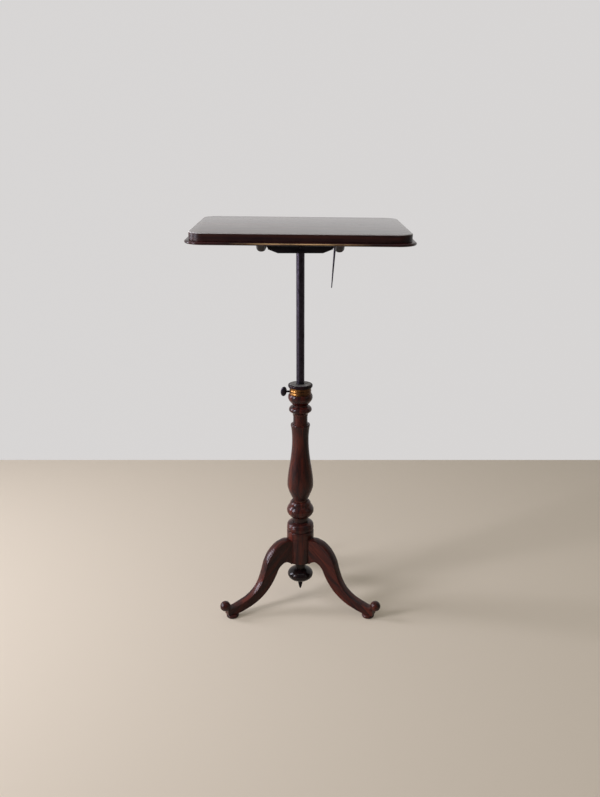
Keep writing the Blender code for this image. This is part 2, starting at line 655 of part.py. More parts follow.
def tongue_outline(grow):
    """Plan of a dovetail tongue, from its broad back inside the drum to beyond the drum's face."""
    back = DRUM_RADIUS - TONGUE_DEPTH
    front = DRUM_RADIUS + OVERRUN
    neck = TONGUE_NECK_WIDTH / 2
    return [(back - grow, -TONGUE_BACK_WIDTH / 2 - grow), (front, -neck - grow), (front, neck + grow),
            (back - grow, TONGUE_BACK_WIDTH / 2 + grow)]


def make_drum(parent, mat):
    """The drum: two incised lines, dovetail slots open below, a blind bore, and sockets at both ends."""
    ease = DRUM_EDGE_ROUND
    bite = ease * (1 - math.sin(math.pi / 4))
    line = DRUM_HEIGHT - DRUM_LINE_BELOW_TOP
    bead = DRUM_HEIGHT - DRUM_BEAD_HEIGHT
    socket = DRUM_HEIGHT - TENON_LENGTH - GAP
    hole = FINIAL_SPIGOT_RADIUS + GAP
    shape = [(0, FINIAL_SPIGOT_LENGTH + GAP), (hole, FINIAL_SPIGOT_LENGTH + GAP), (hole, 0),
             (DRUM_RADIUS - ease, 0), (DRUM_RADIUS - bite, bite), (DRUM_RADIUS, ease),
             (DRUM_RADIUS, line - DRUM_LINE_WIDTH / 2), (DRUM_RADIUS - DRUM_LINE_DEPTH, line),
             (DRUM_RADIUS, line + DRUM_LINE_WIDTH / 2), (DRUM_RADIUS, bead - DRUM_LINE_WIDTH / 2),
             (DRUM_RADIUS - DRUM_LINE_DEPTH, bead), (DRUM_RADIUS, bead + DRUM_LINE_WIDTH / 2),
             (DRUM_RADIUS, DRUM_HEIGHT - ease), (DRUM_RADIUS - bite, DRUM_HEIGHT - bite),
             (DRUM_RADIUS - ease, DRUM_HEIGHT), (TENON_RADIUS + GAP, DRUM_HEIGHT), (TENON_RADIUS + GAP, socket),
             (BORE_RADIUS, socket), (BORE_RADIUS, DRUM_FLOOR_THICKNESS), (0, DRUM_FLOOR_THICKNESS)]
    drum = make_object("drum", turn(shape, TURNED_STEPS), mat, parent, (0, 0, DRUM_CLEAR_OF_FLOOR))
    slot_top = DRUM_CLEAR_OF_FLOOR + TONGUE_HEIGHT + GAP
    slots = [moved(prism(tongue_outline(GAP), DRUM_CLEAR_OF_FLOOR - OVERRUN, slot_top),
                   rotation=Matrix.Rotation(turned, 3, "Z")) for turned in leg_angles()]
    combine(drum, make_tool("drum_slots", join_meshes(slots), parent))


def smooth_through(points, steps):
    """Points of a smooth curve through the given ones, with some steps between neighbours."""
    result = []
    for i in range(len(points) - 1):
        before = points[max(i - 1, 0)]
        after = points[min(i + 2, len(points) - 1)]
        for k in range(steps):
            t = k / steps
            result.append(tuple((2 * b + (c - a) * t + (2 * a - 5 * b + 4 * c - d) * t * t
                                 + (3 * b - a - 3 * c + d) * t ** 3) / 2
                                for a, b, c, d in zip(before, points[i], points[i + 1], after)))
    result.append(points[-1])
    return result


def leg_point(share):
    """A point of the leg's outline, as (distance from the column's axis, height)."""
    out, up = share
    return (DRUM_RADIUS + (TOE_REACH - DRUM_RADIUS) * out, SOLE + (LEG_TOP - SOLE) * up)


def leg_mesh():
    """One cabriole leg along +X, fitted to the drum, the toe ball and the foot pad."""
    crest = smooth_through([leg_point(share) for share in LEG_CREST_SHARES], LEG_CURVE_STEPS)
    under = smooth_through([leg_point(share) for share in LEG_UNDER_SHARES], LEG_CURVE_STEPS)
    under = [(out, max(up, SOLE)) for out, up in under]
    crest.insert(0, (LEG_ROOT, crest[0][1]))
    under.insert(0, (LEG_ROOT, under[0][1]))
    rings = []
    for i, (top, low) in enumerate(zip(crest, under)):
        half = (LEG_WIDTH + (LEG_TOE_WIDTH - LEG_WIDTH) * i / (len(crest) - 1)) / 2
        right = [(low[0] + (top[0] - low[0]) * up, across * half, low[1] + (top[1] - low[1]) * up)
                 for across, up in LEG_SECTION_SHARES]
        left = [(x, -y, z) for x, y, z in reversed(right)]
        rings.append([(top[0], 0, top[1])] + right + left)
    blank = make_object("leg_blank", stacked_rings(rings))
    drum_space = make_tool("drum_space", bar(DRUM_RADIUS + GAP, 0, DRUM_TOP, 2 * TURNED_STEPS))
    tongue = make_tool("leg_tongue", prism(tongue_outline(0), DRUM_CLEAR_OF_FLOOR + GAP,
                                           DRUM_CLEAR_OF_FLOOR + TONGUE_HEIGHT))
    ball_space = make_tool("ball_space", ball(BALL_RADIUS + GAP), None,
                           (FOOT_CIRCLE_RADIUS + BALL_OUT, 0, BALL_HEIGHT))
    spigot_hole = make_tool("spigot_hole", bar(PAD_SPIGOT_RADIUS + GAP, 0, PAD_HEIGHT + PAD_SPIGOT_LENGTH + GAP,
                                               SCREW_STEPS), None, (FOOT_CIRCLE_RADIUS, 0, 0))
    combine(blank, drum_space)
    combine(blank, tongue, "UNION")
    combine(blank, ball_space)
    combine(blank, spigot_hole)
    bpy.context.view_layer.update()
    graph = bpy.context.evaluated_depsgraph_get()
    mesh = bpy.data.meshes.new_from_object(blank.evaluated_get(graph))
    for scrap in (blank, drum_space, tongue, ball_space, spigot_hole):
        bpy.data.objects.remove(scrap, do_unlink=True)
    return mesh


def ball(radius):
    """A sphere turned about Z."""
    arc = bulge(0, radius, 0, radius, 0, 0, BALL_STEPS)
    return turn([(0, arc[0][1])] + arc[1:-1] + [(0, arc[-1][1])], SMALL_STEPS)


def pad():
    """The bun pad under a toe, with the spigot that holds it in the leg."""
    belly = PAD_HEIGHT * PAD_BELLY_SHARE
    lower = bulge(PAD_SOLE_RADIUS, PAD_RADIUS, belly, belly, PAD_SOLE_RADIUS, PAD_RADIUS, PAD_STEPS)
    upper = bulge(PAD_SEAT_RADIUS, PAD_RADIUS, belly, PAD_HEIGHT - belly, PAD_RADIUS, PAD_SEAT_RADIUS, PAD_STEPS)
    top = PAD_HEIGHT + PAD_SPIGOT_LENGTH
    return turn([(0, 0)] + lower + upper[1:] + [(PAD_SPIGOT_RADIUS, PAD_HEIGHT), (PAD_SPIGOT_RADIUS, top),
                                                (0, top)], SMALL_STEPS)


def make_tripod(parent, mat):
    """Three legs with their toe balls and bun pads."""
    kinds = (("leg", leg_mesh(), (0, 0, 0)),
             ("toe_ball", make_mesh("toe_ball", ball(BALL_RADIUS)), (FOOT_CIRCLE_RADIUS + BALL_OUT, 0, BALL_HEIGHT)),
             ("foot_pad", make_mesh("foot_pad", pad()), (FOOT_CIRCLE_RADIUS, 0, 0)))
    for where, turned in zip(("back", "front_left", "front_right"), leg_angles()):
        spoke = make_axis("spoke_" + where, parent, rotation=(0, 0, turned))
        for kind, mesh, place in kinds:
            place_mesh(kind + "_" + where, mesh, mat, spoke, place)


def make_finial(parent, wood, iron):
    """The flattened bulb under the drum, and the small spike that hangs from it."""
    mid = -FINIAL_MID_BELOW_DRUM
    bulb = bulge(FINIAL_CORE_RADIUS, FINIAL_RADIUS, mid, FINIAL_HALF_HEIGHT, SPIKE_SEAT_RADIUS, FINIAL_NECK_RADIUS,
                 10)
    seat = bulb[0][1]
    flare = (FINIAL_NECK_RADIUS, -FINIAL_FLARE_HEIGHT)
    hole = SPIKE_SHANK_RADIUS + GAP
    shape = [(0, seat + SPIKE_SHANK_LENGTH + GAP), (hole, seat + SPIKE_SHANK_LENGTH + GAP), (hole, seat)]
    shape += bulb + [flare] + sweep(flare, (FINIAL_FLARE_RADIUS, -GAP), 3, lambda t: t * t)
    shape += [(FINIAL_SPIGOT_RADIUS, -GAP), (FINIAL_SPIGOT_RADIUS, FINIAL_SPIGOT_LENGTH), (0, FINIAL_SPIGOT_LENGTH)]
    place = (0, 0, DRUM_CLEAR_OF_FLOOR)
    make_object("finial", turn(shape, TURNED_STEPS), wood, parent, place)
    top = seat - GAP
    foot = top - SPIKE_COLLAR_HEIGHT
    tip = foot - SPIKE_LENGTH
    spike = [(0, tip), (SPIKE_TIP_RADIUS, tip + SPIKE_TIP_RADIUS)]
    spike += sweep(spike[-1], (SPIKE_ROOT_RADIUS, foot), 4, lambda t: math.sin(math.pi * t / 2))
    spike += bulge(SPIKE_ROOT_RADIUS, SPIKE_COLLAR_RADIUS, (top + foot) / 2, SPIKE_COLLAR_HEIGHT / 2,
                   SPIKE_ROOT_RADIUS, SPIKE_ROOT_RADIUS, 4)[1:]
    spike += [(SPIKE_SHANK_RADIUS, top), (SPIKE_SHANK_RADIUS, seat + SPIKE_SHANK_LENGTH),
              (0, seat + SPIKE_SHANK_LENGTH)]
    make_object("finial_spike", turn(spike, SMALL_STEPS), iron, parent, place)


def make_knop(parent, mat):
    """The knop over the drum: broad bead, dome, neck, ball, quirk and step, tenoned at both ends."""
    bead = KNOP_BEAD_HEIGHT / 2
    ball_mid = KNOP_BEAD_HEIGHT + KNOP_DOME_HEIGHT + KNOP_NECK_HEIGHT + KNOP_BALL_UNDER
    quirk = ball_mid + KNOP_BALL_OVER
    step = quirk + KNOP_QUIRK_WIDTH
    shape = [(BORE_RADIUS, -TENON_LENGTH), (TENON_RADIUS, -TENON_LENGTH), (TENON_RADIUS, 0)]
    shape += bulge(KNOP_FOOT_RADIUS, KNOP_BEAD_RADIUS, bead, bead, KNOP_FOOT_RADIUS, KNOP_FOOT_RADIUS, 6)
    shape += bulge(KNOP_NECK_RADIUS, KNOP_DOME_RADIUS, KNOP_BEAD_HEIGHT, KNOP_DOME_HEIGHT, KNOP_DOME_RADIUS,
                   KNOP_NECK_RADIUS, 6)
    low, high = [math.sqrt(1 - (reach / KNOP_BALL_HALF_HEIGHT) ** 2) * KNOP_BALL_RADIUS
                 for reach in (KNOP_BALL_UNDER, KNOP_BALL_OVER)]
    shape += bulge(0, KNOP_BALL_RADIUS, ball_mid, KNOP_BALL_HALF_HEIGHT, low, high, 10)
    shape += [(high - KNOP_QUIRK_DEPTH, quirk + KNOP_QUIRK_WIDTH / 2)]
    shape += bulge(BALUSTER_NECK_RADIUS, KNOP_STEP_RADIUS, step, KNOP_STEP_HEIGHT, KNOP_STEP_RADIUS,
                   BALUSTER_NECK_RADIUS, 5)
    shape += [(TENON_RADIUS, KNOP_HEIGHT), (TENON_RADIUS, KNOP_HEIGHT + TENON_LENGTH),
              (BORE_RADIUS, KNOP_HEIGHT + TENON_LENGTH)]
    make_object("column_knop", turn(shape, TURNED_STEPS), mat, parent, (0, 0, KNOP_BASE))


def make_baluster(parent, mat):
    """The vase-shaped shaft: a socket at each end, belly low down, waist and shoulder ring above."""
    belly = BALUSTER_NECK_HEIGHT + BELLY_RISE
    waist = belly + WAIST_RISE
    shoulder = waist + SHOULDER_RISE
    socket = TENON_LENGTH + GAP
    shape = [(TENON_RADIUS + GAP, 0), (BALUSTER_NECK_RADIUS, 0), (BALUSTER_NECK_RADIUS, BALUSTER_NECK_HEIGHT)]
    shape += sweep(shape[-1], (BELLY_RADIUS, belly), 6, swelling)
    shape += sweep(shape[-1], (WAIST_RADIUS, waist), 8, lambda t: ogee(t ** WAIST_FALL_SHARE))
    shape += sweep(shape[-1], (SHOULDER_RADIUS, shoulder), 4, lambda t: t * t)
    shape += bulge(SHOULDER_RADIUS, SHOULDER_RING_RADIUS, shoulder + SHOULDER_RING_HEIGHT / 2,
                   SHOULDER_RING_HEIGHT / 2, SHOULDER_RADIUS, SHOULDER_RADIUS, 4)[1:]
    shape += [(TENON_RADIUS + GAP, BALUSTER_HEIGHT), (TENON_RADIUS + GAP, BALUSTER_HEIGHT - socket),
              (BORE_RADIUS, BALUSTER_HEIGHT - socket), (BORE_RADIUS, socket), (TENON_RADIUS + GAP, socket)]
    make_object("baluster", turn(shape, TURNED_STEPS), mat, parent, (0, 0, BALUSTER_BASE))


def make_collar(parent, mat):
    """The collar turning: neck, fillet, disc, waist, cup and bead, with a core for the band and cap."""
    neck = COLLAR_NECK_HEIGHT
    fillet = neck - COLLAR_FILLET_HEIGHT
    disc = neck + COLLAR_DISC_UNDER
    waist = neck + COLLAR_DISC_HEIGHT
    bead = waist + COLLAR_WAIST_HEIGHT + COLLAR_CUP_RISE
    core_top = CORE_TOP - COLLAR_BASE
    shape = [(BORE_RADIUS, -TENON_LENGTH), (TENON_RADIUS, -TENON_LENGTH), (TENON_RADIUS, 0), (COLLAR_FOOT_RADIUS, 0),
             (COLLAR_NECK_RADIUS, neck / 3), (COLLAR_NECK_RADIUS, fillet), (COLLAR_FILLET_RADIUS, fillet),
             (COLLAR_FILLET_RADIUS, neck)]
    shape += sweep(shape[-1], (COLLAR_DISC_RADIUS, disc), 5, ogee)
    shape += bulge(COLLAR_WAIST_RADIUS, COLLAR_DISC_RADIUS, disc + COLLAR_DISC_EDGE, COLLAR_DISC_OVER,
                   COLLAR_DISC_RADIUS, COLLAR_WAIST_RADIUS, 5)
    shape += [(COLLAR_WAIST_RADIUS, waist + COLLAR_WAIST_HEIGHT)]
    shape += sweep(shape[-1], (COLLAR_BEAD_RADIUS, bead), 6, swelling)
    shape += bulge(BAND_RADIUS, COLLAR_BEAD_RADIUS, bead, COLLAR_BEAD_CROWN, COLLAR_BEAD_RADIUS, BAND_RADIUS, 4)[1:]
    shape += [(COLLAR_CORE_RADIUS, COLLAR_HEIGHT), (COLLAR_CORE_RADIUS, core_top), (BORE_RADIUS, core_top)]
    return make_object("collar_turning", turn(shape, TURNED_STEPS), mat, parent, (0, 0, COLLAR_BASE))


def make_band(parent, mat):
    """The brass band round the collar's core, with turned grooves."""
    land = BAND_HEIGHT / (2 * BAND_GROOVE_COUNT + 1)
    shape = [(COLLAR_CORE_RADIUS + GAP, 0), (BAND_RADIUS, 0)]
    for i in range(BAND_GROOVE_COUNT):
        foot = land * (2 * i + 1)
        shape += [(BAND_RADIUS, foot), (BAND_RADIUS - BAND_GROOVE_DEPTH, foot + land / 2), (BAND_RADIUS, foot + land)]
    shape += [(BAND_RADIUS, BAND_HEIGHT), (COLLAR_CORE_RADIUS + GAP, BAND_HEIGHT)]
    return make_object("collar_band", turn(shape, TURNED_STEPS), mat, parent, (0, 0, BAND_BASE))


def make_cap(parent, wood, plate_mat):
    """The round-edged cap over the band, and the plate let into it, which the rod passes through."""
    inner = COLLAR_CORE_RADIUS + GAP
    rebate = CAP_HEIGHT + PLATE_PROUD - PLATE_THICKNESS - GAP
    belly = CAP_HEIGHT * CAP_BELLY_SHARE
    shape = [(inner, 0), (CAP_UNDERSIDE_RADIUS, 0)]
    shape += bulge(CAP_UNDERSIDE_RADIUS, CAP_RADIUS, belly, belly, CAP_UNDERSIDE_RADIUS, CAP_RADIUS, 4)[1:]
    shape += bulge(CAP_UNDERSIDE_RADIUS, CAP_RADIUS, belly, CAP_HEIGHT - belly, CAP_RADIUS, CAP_UNDERSIDE_RADIUS,
                   4)[1:]
    shape += [(PLATE_RADIUS + GAP, CAP_HEIGHT), (PLATE_RADIUS + GAP, rebate), (inner, rebate)]
    make_object("collar_cap", turn(shape, TURNED_STEPS), wood, parent, (0, 0, CAP_BASE))
    plate = [(PLATE_HOLE_RADIUS, 0), (PLATE_RADIUS, 0), (PLATE_RADIUS, PLATE_THICKNESS),
             (PLATE_HOLE_RADIUS, PLATE_THICKNESS)]
    make_object("collar_plate", turn(plate, TURNED_STEPS), plate_mat, parent, (0, 0, PLATE_BASE))


def make_clamp(parent, iron, brass, collar, band):
    """Thumbscrew, threaded insert and shoe along a line to the left, from the rod outwards."""
    shoe_near = ROD_RADIUS + GAP
    shoe_far = shoe_near + SHOE_THICKNESS
    insert_far = BAND_RADIUS - BAND_GROOVE_DEPTH
    insert_near = insert_far - CLAMP_INSERT_LENGTH
    stem_end = BAND_RADIUS + CLAMP_STEM_OUT
    stem_hole = CLAMP_STEM_RADIUS + CLAMP_STEM_CLEARANCE
    axis = make_axis("clamp_axis", parent, (0, 0, CLAMP_HEIGHT), facing(-1))
    bore = bar(CLAMP_INSERT_RADIUS + GAP, BORE_RADIUS / 2, BAND_RADIUS + OVERRUN, SMALL_STEPS, True)
    tool = make_tool("clamp_bore", bore, axis)
    combine(collar, tool)
    combine(band, tool)
    insert = [(stem_hole, insert_near), (CLAMP_INSERT_RADIUS, insert_near), (CLAMP_INSERT_RADIUS, insert_far),
              (stem_hole, insert_far)]
    make_object("screw_bush", turn(insert, SMALL_STEPS, True), brass, axis)
    make_object("clamp_shoe", bar(SHOE_RADIUS, shoe_near, shoe_far, SMALL_STEPS, True), brass, axis)
    stem = bar(CLAMP_STEM_RADIUS, shoe_far + GAP, stem_end + OVERRUN, SMALL_STEPS, True)
    screw = make_object("thumbscrew", stem, iron, axis)
    middle = stem_end + THUMB_LENGTH / 2
    combine(screw, make_tool("thumb_piece", thumb_piece(), axis, (middle, 0, 0), (0, -THUMB_LEAN, 0)), "UNION")


def thumb_piece():
    """The flat oval that the fingers turn, fuller in the middle than at its edge."""
    bm = ball(1 / 2)
    bmesh.ops.rotate(bm, verts=bm.verts, matrix=Matrix.Rotation(math.pi / 2, 3, "X"))
    for vert in bm.verts:
        flat = math.copysign(abs(2 * vert.co.y) ** THUMB_EDGE_SHARE, vert.co.y) / 2
        vert.co = Vector((vert.co.x * THUMB_LENGTH, flat * THUMB_THICKNESS, vert.co.z * THUMB_HEIGHT))
    return bm


def centre_on_floor(root):
    """Shift the whole stand so that the middle of its box in plan is the origin."""
    bpy.context.view_layer.update()
    pieces = [obj for obj in bpy.data.objects if obj.type == "MESH" and not obj.hide_render]
    points = [obj.matrix_world @ vert.co for obj in pieces for vert in obj.data.vertices]
    for axis in (0, 1):
        values = [point[axis] for point in points]
        root.location[axis] = -(min(values) + max(values)) / 2


def build():
    """Make every piece of the stand."""
    clear_scene()
    rosewood = make_material("polished_rosewood", (0.085, 0.028, 0.022), 0.28)
    top_wood = make_material("reading_top_rosewood", (0.12, 0.055, 0.040), 0.22)
    dark_wood = make_material("darkened_rosewood", (0.030, 0.016, 0.014), 0.38)
    iron = make_material("blackened_iron", (0.045, 0.040, 0.043), 0.45, 1.0)
    brass = make_material("worn_brass", (0.55, 0.34, 0.11), 0.35, 1.0)
    plate_grey = make_material("dulled_plate", (0.24, 0.21, 0.19), 0.60, 1.0)

    root = make_axis("stand_centre")
    slide_axis = make_axis("height_axis", root)
    rod_axis = make_axis("swivel_axis", slide_axis)
    tilt_axis = make_axis("tilt_axis", rod_axis, (0, 0, PIVOT_HEIGHT), (TOP_TILT, TOP_LEAN, 0))

    make_tripod(root, rosewood)
    make_drum(root, rosewood)
    make_finial(root, dark_wood, iron)
    make_knop(root, rosewood)
    make_baluster(root, rosewood)
    collar = make_collar(root, rosewood)
    band = make_band(root, brass)
    make_cap(root, dark_wood, plate_grey)
    make_clamp(root, iron, brass, collar, band)

    cross_tool = make_block(rod_axis, tilt_axis, dark_wood)
    make_rod(rod_axis, iron, cross_tool)
    make_foot_bush(slide_axis, brass)

    make_board(tilt_axis, top_wood)
    make_mouldings(tilt_axis, rosewood)
    make_bearer("bearer_left", -1, tilt_axis, dark_wood)
    right_bearer = make_bearer("bearer_right", 1, tilt_axis, dark_wood)
    make_bearer_screws(tilt_axis, iron)
    make_pivot_pins(tilt_axis, iron)
    make_stay(tilt_axis, iron, right_bearer)
    centre_on_floor(root)


build()
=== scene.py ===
# %% [markdown]
# # A reading stand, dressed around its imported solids
#
# The stand is a dark polished top on an iron rod, which slides and turns in a turned column on three
# cabriole legs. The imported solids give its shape, its joints and its true size. This script gives each
# solid a finer piece and a real finish, and each finer piece rides on the body that its solid belongs to,
# so that the dressed stand still slides, turns and tilts.

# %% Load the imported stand
import json
import math

import bmesh
import bpy
from mathutils import Matrix, Vector


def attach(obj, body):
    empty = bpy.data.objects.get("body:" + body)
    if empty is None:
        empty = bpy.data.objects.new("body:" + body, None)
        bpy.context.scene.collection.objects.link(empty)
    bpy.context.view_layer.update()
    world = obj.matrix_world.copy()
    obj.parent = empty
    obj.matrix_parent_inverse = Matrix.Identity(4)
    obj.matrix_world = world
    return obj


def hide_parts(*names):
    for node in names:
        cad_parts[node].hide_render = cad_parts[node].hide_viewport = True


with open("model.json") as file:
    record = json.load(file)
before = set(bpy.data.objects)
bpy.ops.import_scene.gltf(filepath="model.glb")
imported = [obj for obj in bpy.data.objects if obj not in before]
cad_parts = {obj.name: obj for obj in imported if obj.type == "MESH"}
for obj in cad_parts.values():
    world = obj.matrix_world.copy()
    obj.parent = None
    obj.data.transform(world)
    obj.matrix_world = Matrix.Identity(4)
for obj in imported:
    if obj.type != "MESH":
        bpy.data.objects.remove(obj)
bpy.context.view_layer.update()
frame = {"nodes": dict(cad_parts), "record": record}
BODY_OF = {node: body for body, nodes in frame["record"]["behaviour"]["bodies"].items() for node in nodes}

# %% [markdown]
# ## The camera
#
# The photograph was taken from a standing person's eye height, close by, looking down at the stand. The
# rings of the column are ellipses in it, and how round they are tells how steeply each is seen. A camera
# 2.06 m in front of the column and 1.24 m up, looking down 17 degrees, fits them all. A lens shift could
# also frame the stand, but it would change how the rings look, so the camera simply points down.

# %% Camera at the photograph's place
CAMERA_PLACE = (-0.0013, -2.0859, 1.2448)
CAMERA_PITCH = math.radians(73.065)
FOCAL_LENGTH = 35.23

camera = bpy.data.objects.new("camera", bpy.data.cameras.new("camera"))
bpy.context.collection.objects.link(camera)
camera.location = CAMERA_PLACE
camera.rotation_euler = (CAMERA_PITCH, 0, 0)
camera.data.lens = FOCAL_LENGTH
camera.data.clip_start = 0.05
bpy.context.scene.camera = camera
bpy.context.scene.view_settings.view_transform = "Standard"
print("camera looks down", round(90 - math.degrees(CAMERA_PITCH), 1), "degrees")

# %% [markdown]
# ## Building materials from nodes
#
# Every finish here is made of nodes, and a tree of thirty nodes is long to write. Small helpers keep it
# short: one adds a node and fills its inputs, where a socket is linked and anything else is set as a
# value. Others work out sums, mix two colours, or map a range of values to 0..1.

# %% Helpers that add nodes
def fill(tree, node, inputs):
    """A node with its inputs linked or set; a plain colour is given full alpha."""
    for key, value in inputs.items():
        socket = node.inputs[key]
        if isinstance(value, bpy.types.NodeSocket):
            tree.links.new(value, socket)
        else:
            socket.default_value = (*value, 1.0) if socket.type == "RGBA" else value
    return node


def add(tree, kind, inputs=None, **settings):
    """A new shader node, its settings made and its inputs linked or set."""
    made = tree.nodes.new("ShaderNode" + kind)
    for key, value in settings.items():
        setattr(made, key, value)
    return fill(tree, made, inputs or {})


def calc(tree, operation, first, second=0.0, clamp=False):
    """A figure worked out from two values."""
    return add(tree, "Math", {0: first, 1: second}, operation=operation, use_clamp=clamp).outputs[0]


def times(tree, first, second, clamp=False):
    """The product of two values."""
    return calc(tree, "MULTIPLY", first, second, clamp)


def plus(tree, first, second, clamp=False):
    """The sum of two values."""
    return calc(tree, "ADD", first, second, clamp)


def stretch(tree, place, scales):
    """A place with each of its axes scaled."""
    return add(tree, "VectorMath", {0: place, 1: scales}, operation="MULTIPLY").outputs[0]


def blend(tree, share, first, second):
    """A colour between two others."""
    return add(tree, "Mix", {0: share, 6: first, 7: second}, data_type="RGBA").outputs[2]


def spread(tree, value, low, high, start=0.0, stop=1.0):
    """A value's range from low to high, mapped to start..stop and clamped."""
    inputs = {"Value": value, "From Min": low, "From Max": high, "To Min": start, "To Max": stop}
    return add(tree, "MapRange", inputs).outputs[0]


def cloudy(tree, place, scale, detail=3.0, rough=0.55, warp=0.0):
    """Cloudy noise from 0 to 1."""
    inputs = {"Vector": place, "Scale": scale, "Detail": detail, "Roughness": rough, "Distortion": warp}
    return add(tree, "TexNoise", inputs).outputs[0]


def own(tree, what, axis):
    """One axis of the place ("Object") or of the facing ("Normal") in the piece's own space."""
    return add(tree, "SeparateXYZ", {0: add(tree, "TexCoord").outputs[what]}).outputs[axis]


def new_group(name, inputs, outputs):
    """An empty node group with named sockets, what it is given, and its output node."""
    tree = bpy.data.node_groups.new(name, "ShaderNodeTree")
    for label, value in inputs.items():
        kind = "NodeSocketVector" if value is None else "NodeSocketFloat"
        socket = tree.interface.new_socket(label, in_out="INPUT", socket_type=kind)
        if value is not None:
            socket.default_value = value
    for label in outputs:
        tree.interface.new_socket(label, in_out="OUTPUT", socket_type="NodeSocketFloat")
    return tree, tree.nodes.new("NodeGroupInput").outputs, tree.nodes.new("NodeGroupOutput")


print("node helpers ready")

# %% [markdown]
# ## The grain of rosewood
#
# Rosewood has a reddish ground with nearly black lines of uneven width, and long open pores. Both run
# along the grain, so noise is read in a space that is squeezed along one axis: it then draws out into
# streaks. A wave texture would give streaks too, but they come out evenly spaced and look printed. The
# group puts out three masks, and each wood picks its own colours from them.

# %% Grain group
PORES_DRAWN_OUT = (1.0, 1.0, 0.035)
PORE_SCALE = 1500.0
LINES_TO_FIGURE = 3.2
FIGURE_RANGE, LINES_RANGE, PORES_RANGE = (0.36, 0.66), (0.50, 0.68), (0.60, 0.74)

grain_group, given, out = new_group("rosewood_grain", {"Vector": None, "Scale": 60.0, "Squeeze": 0.08},
                                    ["Figure", "Lines", "Pores"])
tree = grain_group
squeeze = add(tree, "CombineXYZ", {0: 1.0, 1: 1.0, 2: given["Squeeze"]}).outputs[0]
along = stretch(tree, given["Vector"], squeeze)
drawn_out = stretch(tree, given["Vector"], PORES_DRAWN_OUT)
figure = cloudy(tree, along, given["Scale"], detail=4.0, rough=0.5, warp=0.9)
lines = cloudy(tree, along, times(tree, given["Scale"], LINES_TO_FIGURE), rough=0.6, warp=0.6)
pores = cloudy(tree, drawn_out, PORE_SCALE, detail=1.0, rough=0.5)
fill(tree, out, {"Figure": spread(tree, figure, *FIGURE_RANGE), "Lines": spread(tree, lines, *LINES_RANGE),
                 "Pores": spread(tree, pores, *PORES_RANGE)})
print("grain group:", len(grain_group.nodes), "nodes")

# %% [markdown]
# ## Wear on edges, and dirt and painted shade in hollows
#
# Hands and dusters rub the polish off the proud edges. The hollows are darkened: on the woods partly as old
# wax and partly as painted shade in the grooves, on the metals as tarnish. Pointiness tells the two apart:
# it is over one half on an edge that stands proud and under it in a hollow. Clouds break the wear mask up,
# because even wear looks painted on.

# %% Wear group
PROUD_FROM = 0.52
HOLLOW = (0.40, 0.485)
PATCH_RANGE = (0.38, 0.62)

wear_group, given, out = new_group("edge_wear_and_hollows", {"Vector": None, "Reach": 0.06, "Patches": 45.0},
                                   ["Wear", "Hollows"])
tree = wear_group
pointed = add(tree, "NewGeometry").outputs["Pointiness"]
patch = spread(tree, cloudy(tree, given["Vector"], given["Patches"], detail=4.0, rough=0.6), *PATCH_RANGE)
proud = spread(tree, pointed, PROUD_FROM, plus(tree, given["Reach"], PROUD_FROM))
# The hollows mask: the woods darken it as old wax and painted shade, the metals as tarnish
fill(tree, out, {"Wear": times(tree, proud, patch, True), "Hollows": spread(tree, pointed, *HOLLOW, 1.0, 0.0)})
print("wear group:", len(wear_group.nodes), "nodes")

# %% [markdown]
# ## Dust
#
# Dust lies on what faces up. The Normal output of Texture Coordinate is in the piece's own space, so the
# dust stays on the piece when the top tilts. It is thin, and only greys the polish a little.

# %% Dust group
SPECK_SCALE = 260.0
SPECK_RANGE = (0.40, 0.72)
FACING_UP = (0.35, 1.0)

dust_group, given, out = new_group("thin_dust", {"Vector": None, "Amount": 0.3}, ["Dust"])
tree = dust_group
lying = spread(tree, own(tree, "Normal", 2), *FACING_UP)
specks = spread(tree, cloudy(tree, given["Vector"], SPECK_SCALE, detail=5.0, rough=0.7), *SPECK_RANGE)
fill(tree, out, {"Dust": times(tree, times(tree, lying, specks), given["Amount"])})
print("dust group:", len(dust_group.nodes), "nodes")

# %% [markdown]
# ## The polished woods
#
# The wood is finished with thin coats of shellac. On the real stand the ground colour is red-brown, the
# lines are almost black, and the polish gives sharp pale highlights over a dark body. One function makes
# every wood of the stand, because they differ only in colours, in the way the grain runs and in how much
# of the polish is left. The coat carries the sharp highlight, and the body under it is duller and throws
# back little of its own.

# %% One function for the woods
GRAIN_TURNS = {"up": (0, 0, 0), "across": (0, math.pi / 2, 0), "deep": (math.pi / 2, 0, 0),
               "down_the_leg": (0, math.radians(48), 0)}
DUST_COLOUR = (0.30, 0.27, 0.25)
# Dark colour of the hollows: partly old wax and partly painted shade in the grooves
WAX_AND_PAINTED_SHADE = (0.006, 0.003, 0.003)
OPEN_PORE = (0.008, 0.004, 0.004)
LINES_SHARE, WAX_AND_SHADE_SHARE, PORES_SHARE = 0.75, 0.9, 0.6
SMEAR_SCALE = 22.0
CLOUD_RANGE = (0.3, 0.7)
SMOOTHEST, ROUGHEST = -0.06, 0.10
RUBBED_DULL, DUSTY_DULL = 0.18, 0.6
LINES_STAND = 0.35
GRAIN_BUMP = 0.5


def start_look(name, dust, **wear_inputs):
    """A new material: its tree, the place in the piece's own space, its wear marks and its dust."""
    mat = bpy.data.materials.new(name)
    mat.use_nodes = True
    tree = mat.node_tree
    place = add(tree, "TexCoord").outputs["Object"]
    marks = add(tree, "Group", {"Vector": place, **wear_inputs}, node_tree=wear_group).outputs
    dusty = add(tree, "Group", {"Vector": place, "Amount": dust}, node_tree=dust_group).outputs["Dust"]
    return mat, tree, place, marks, dusty


def bumped(tree, strength, distance, height):
    """A facing disturbed by a height."""
    return add(tree, "Bump", {"Strength": strength, "Distance": distance, "Height": height}).outputs[0]


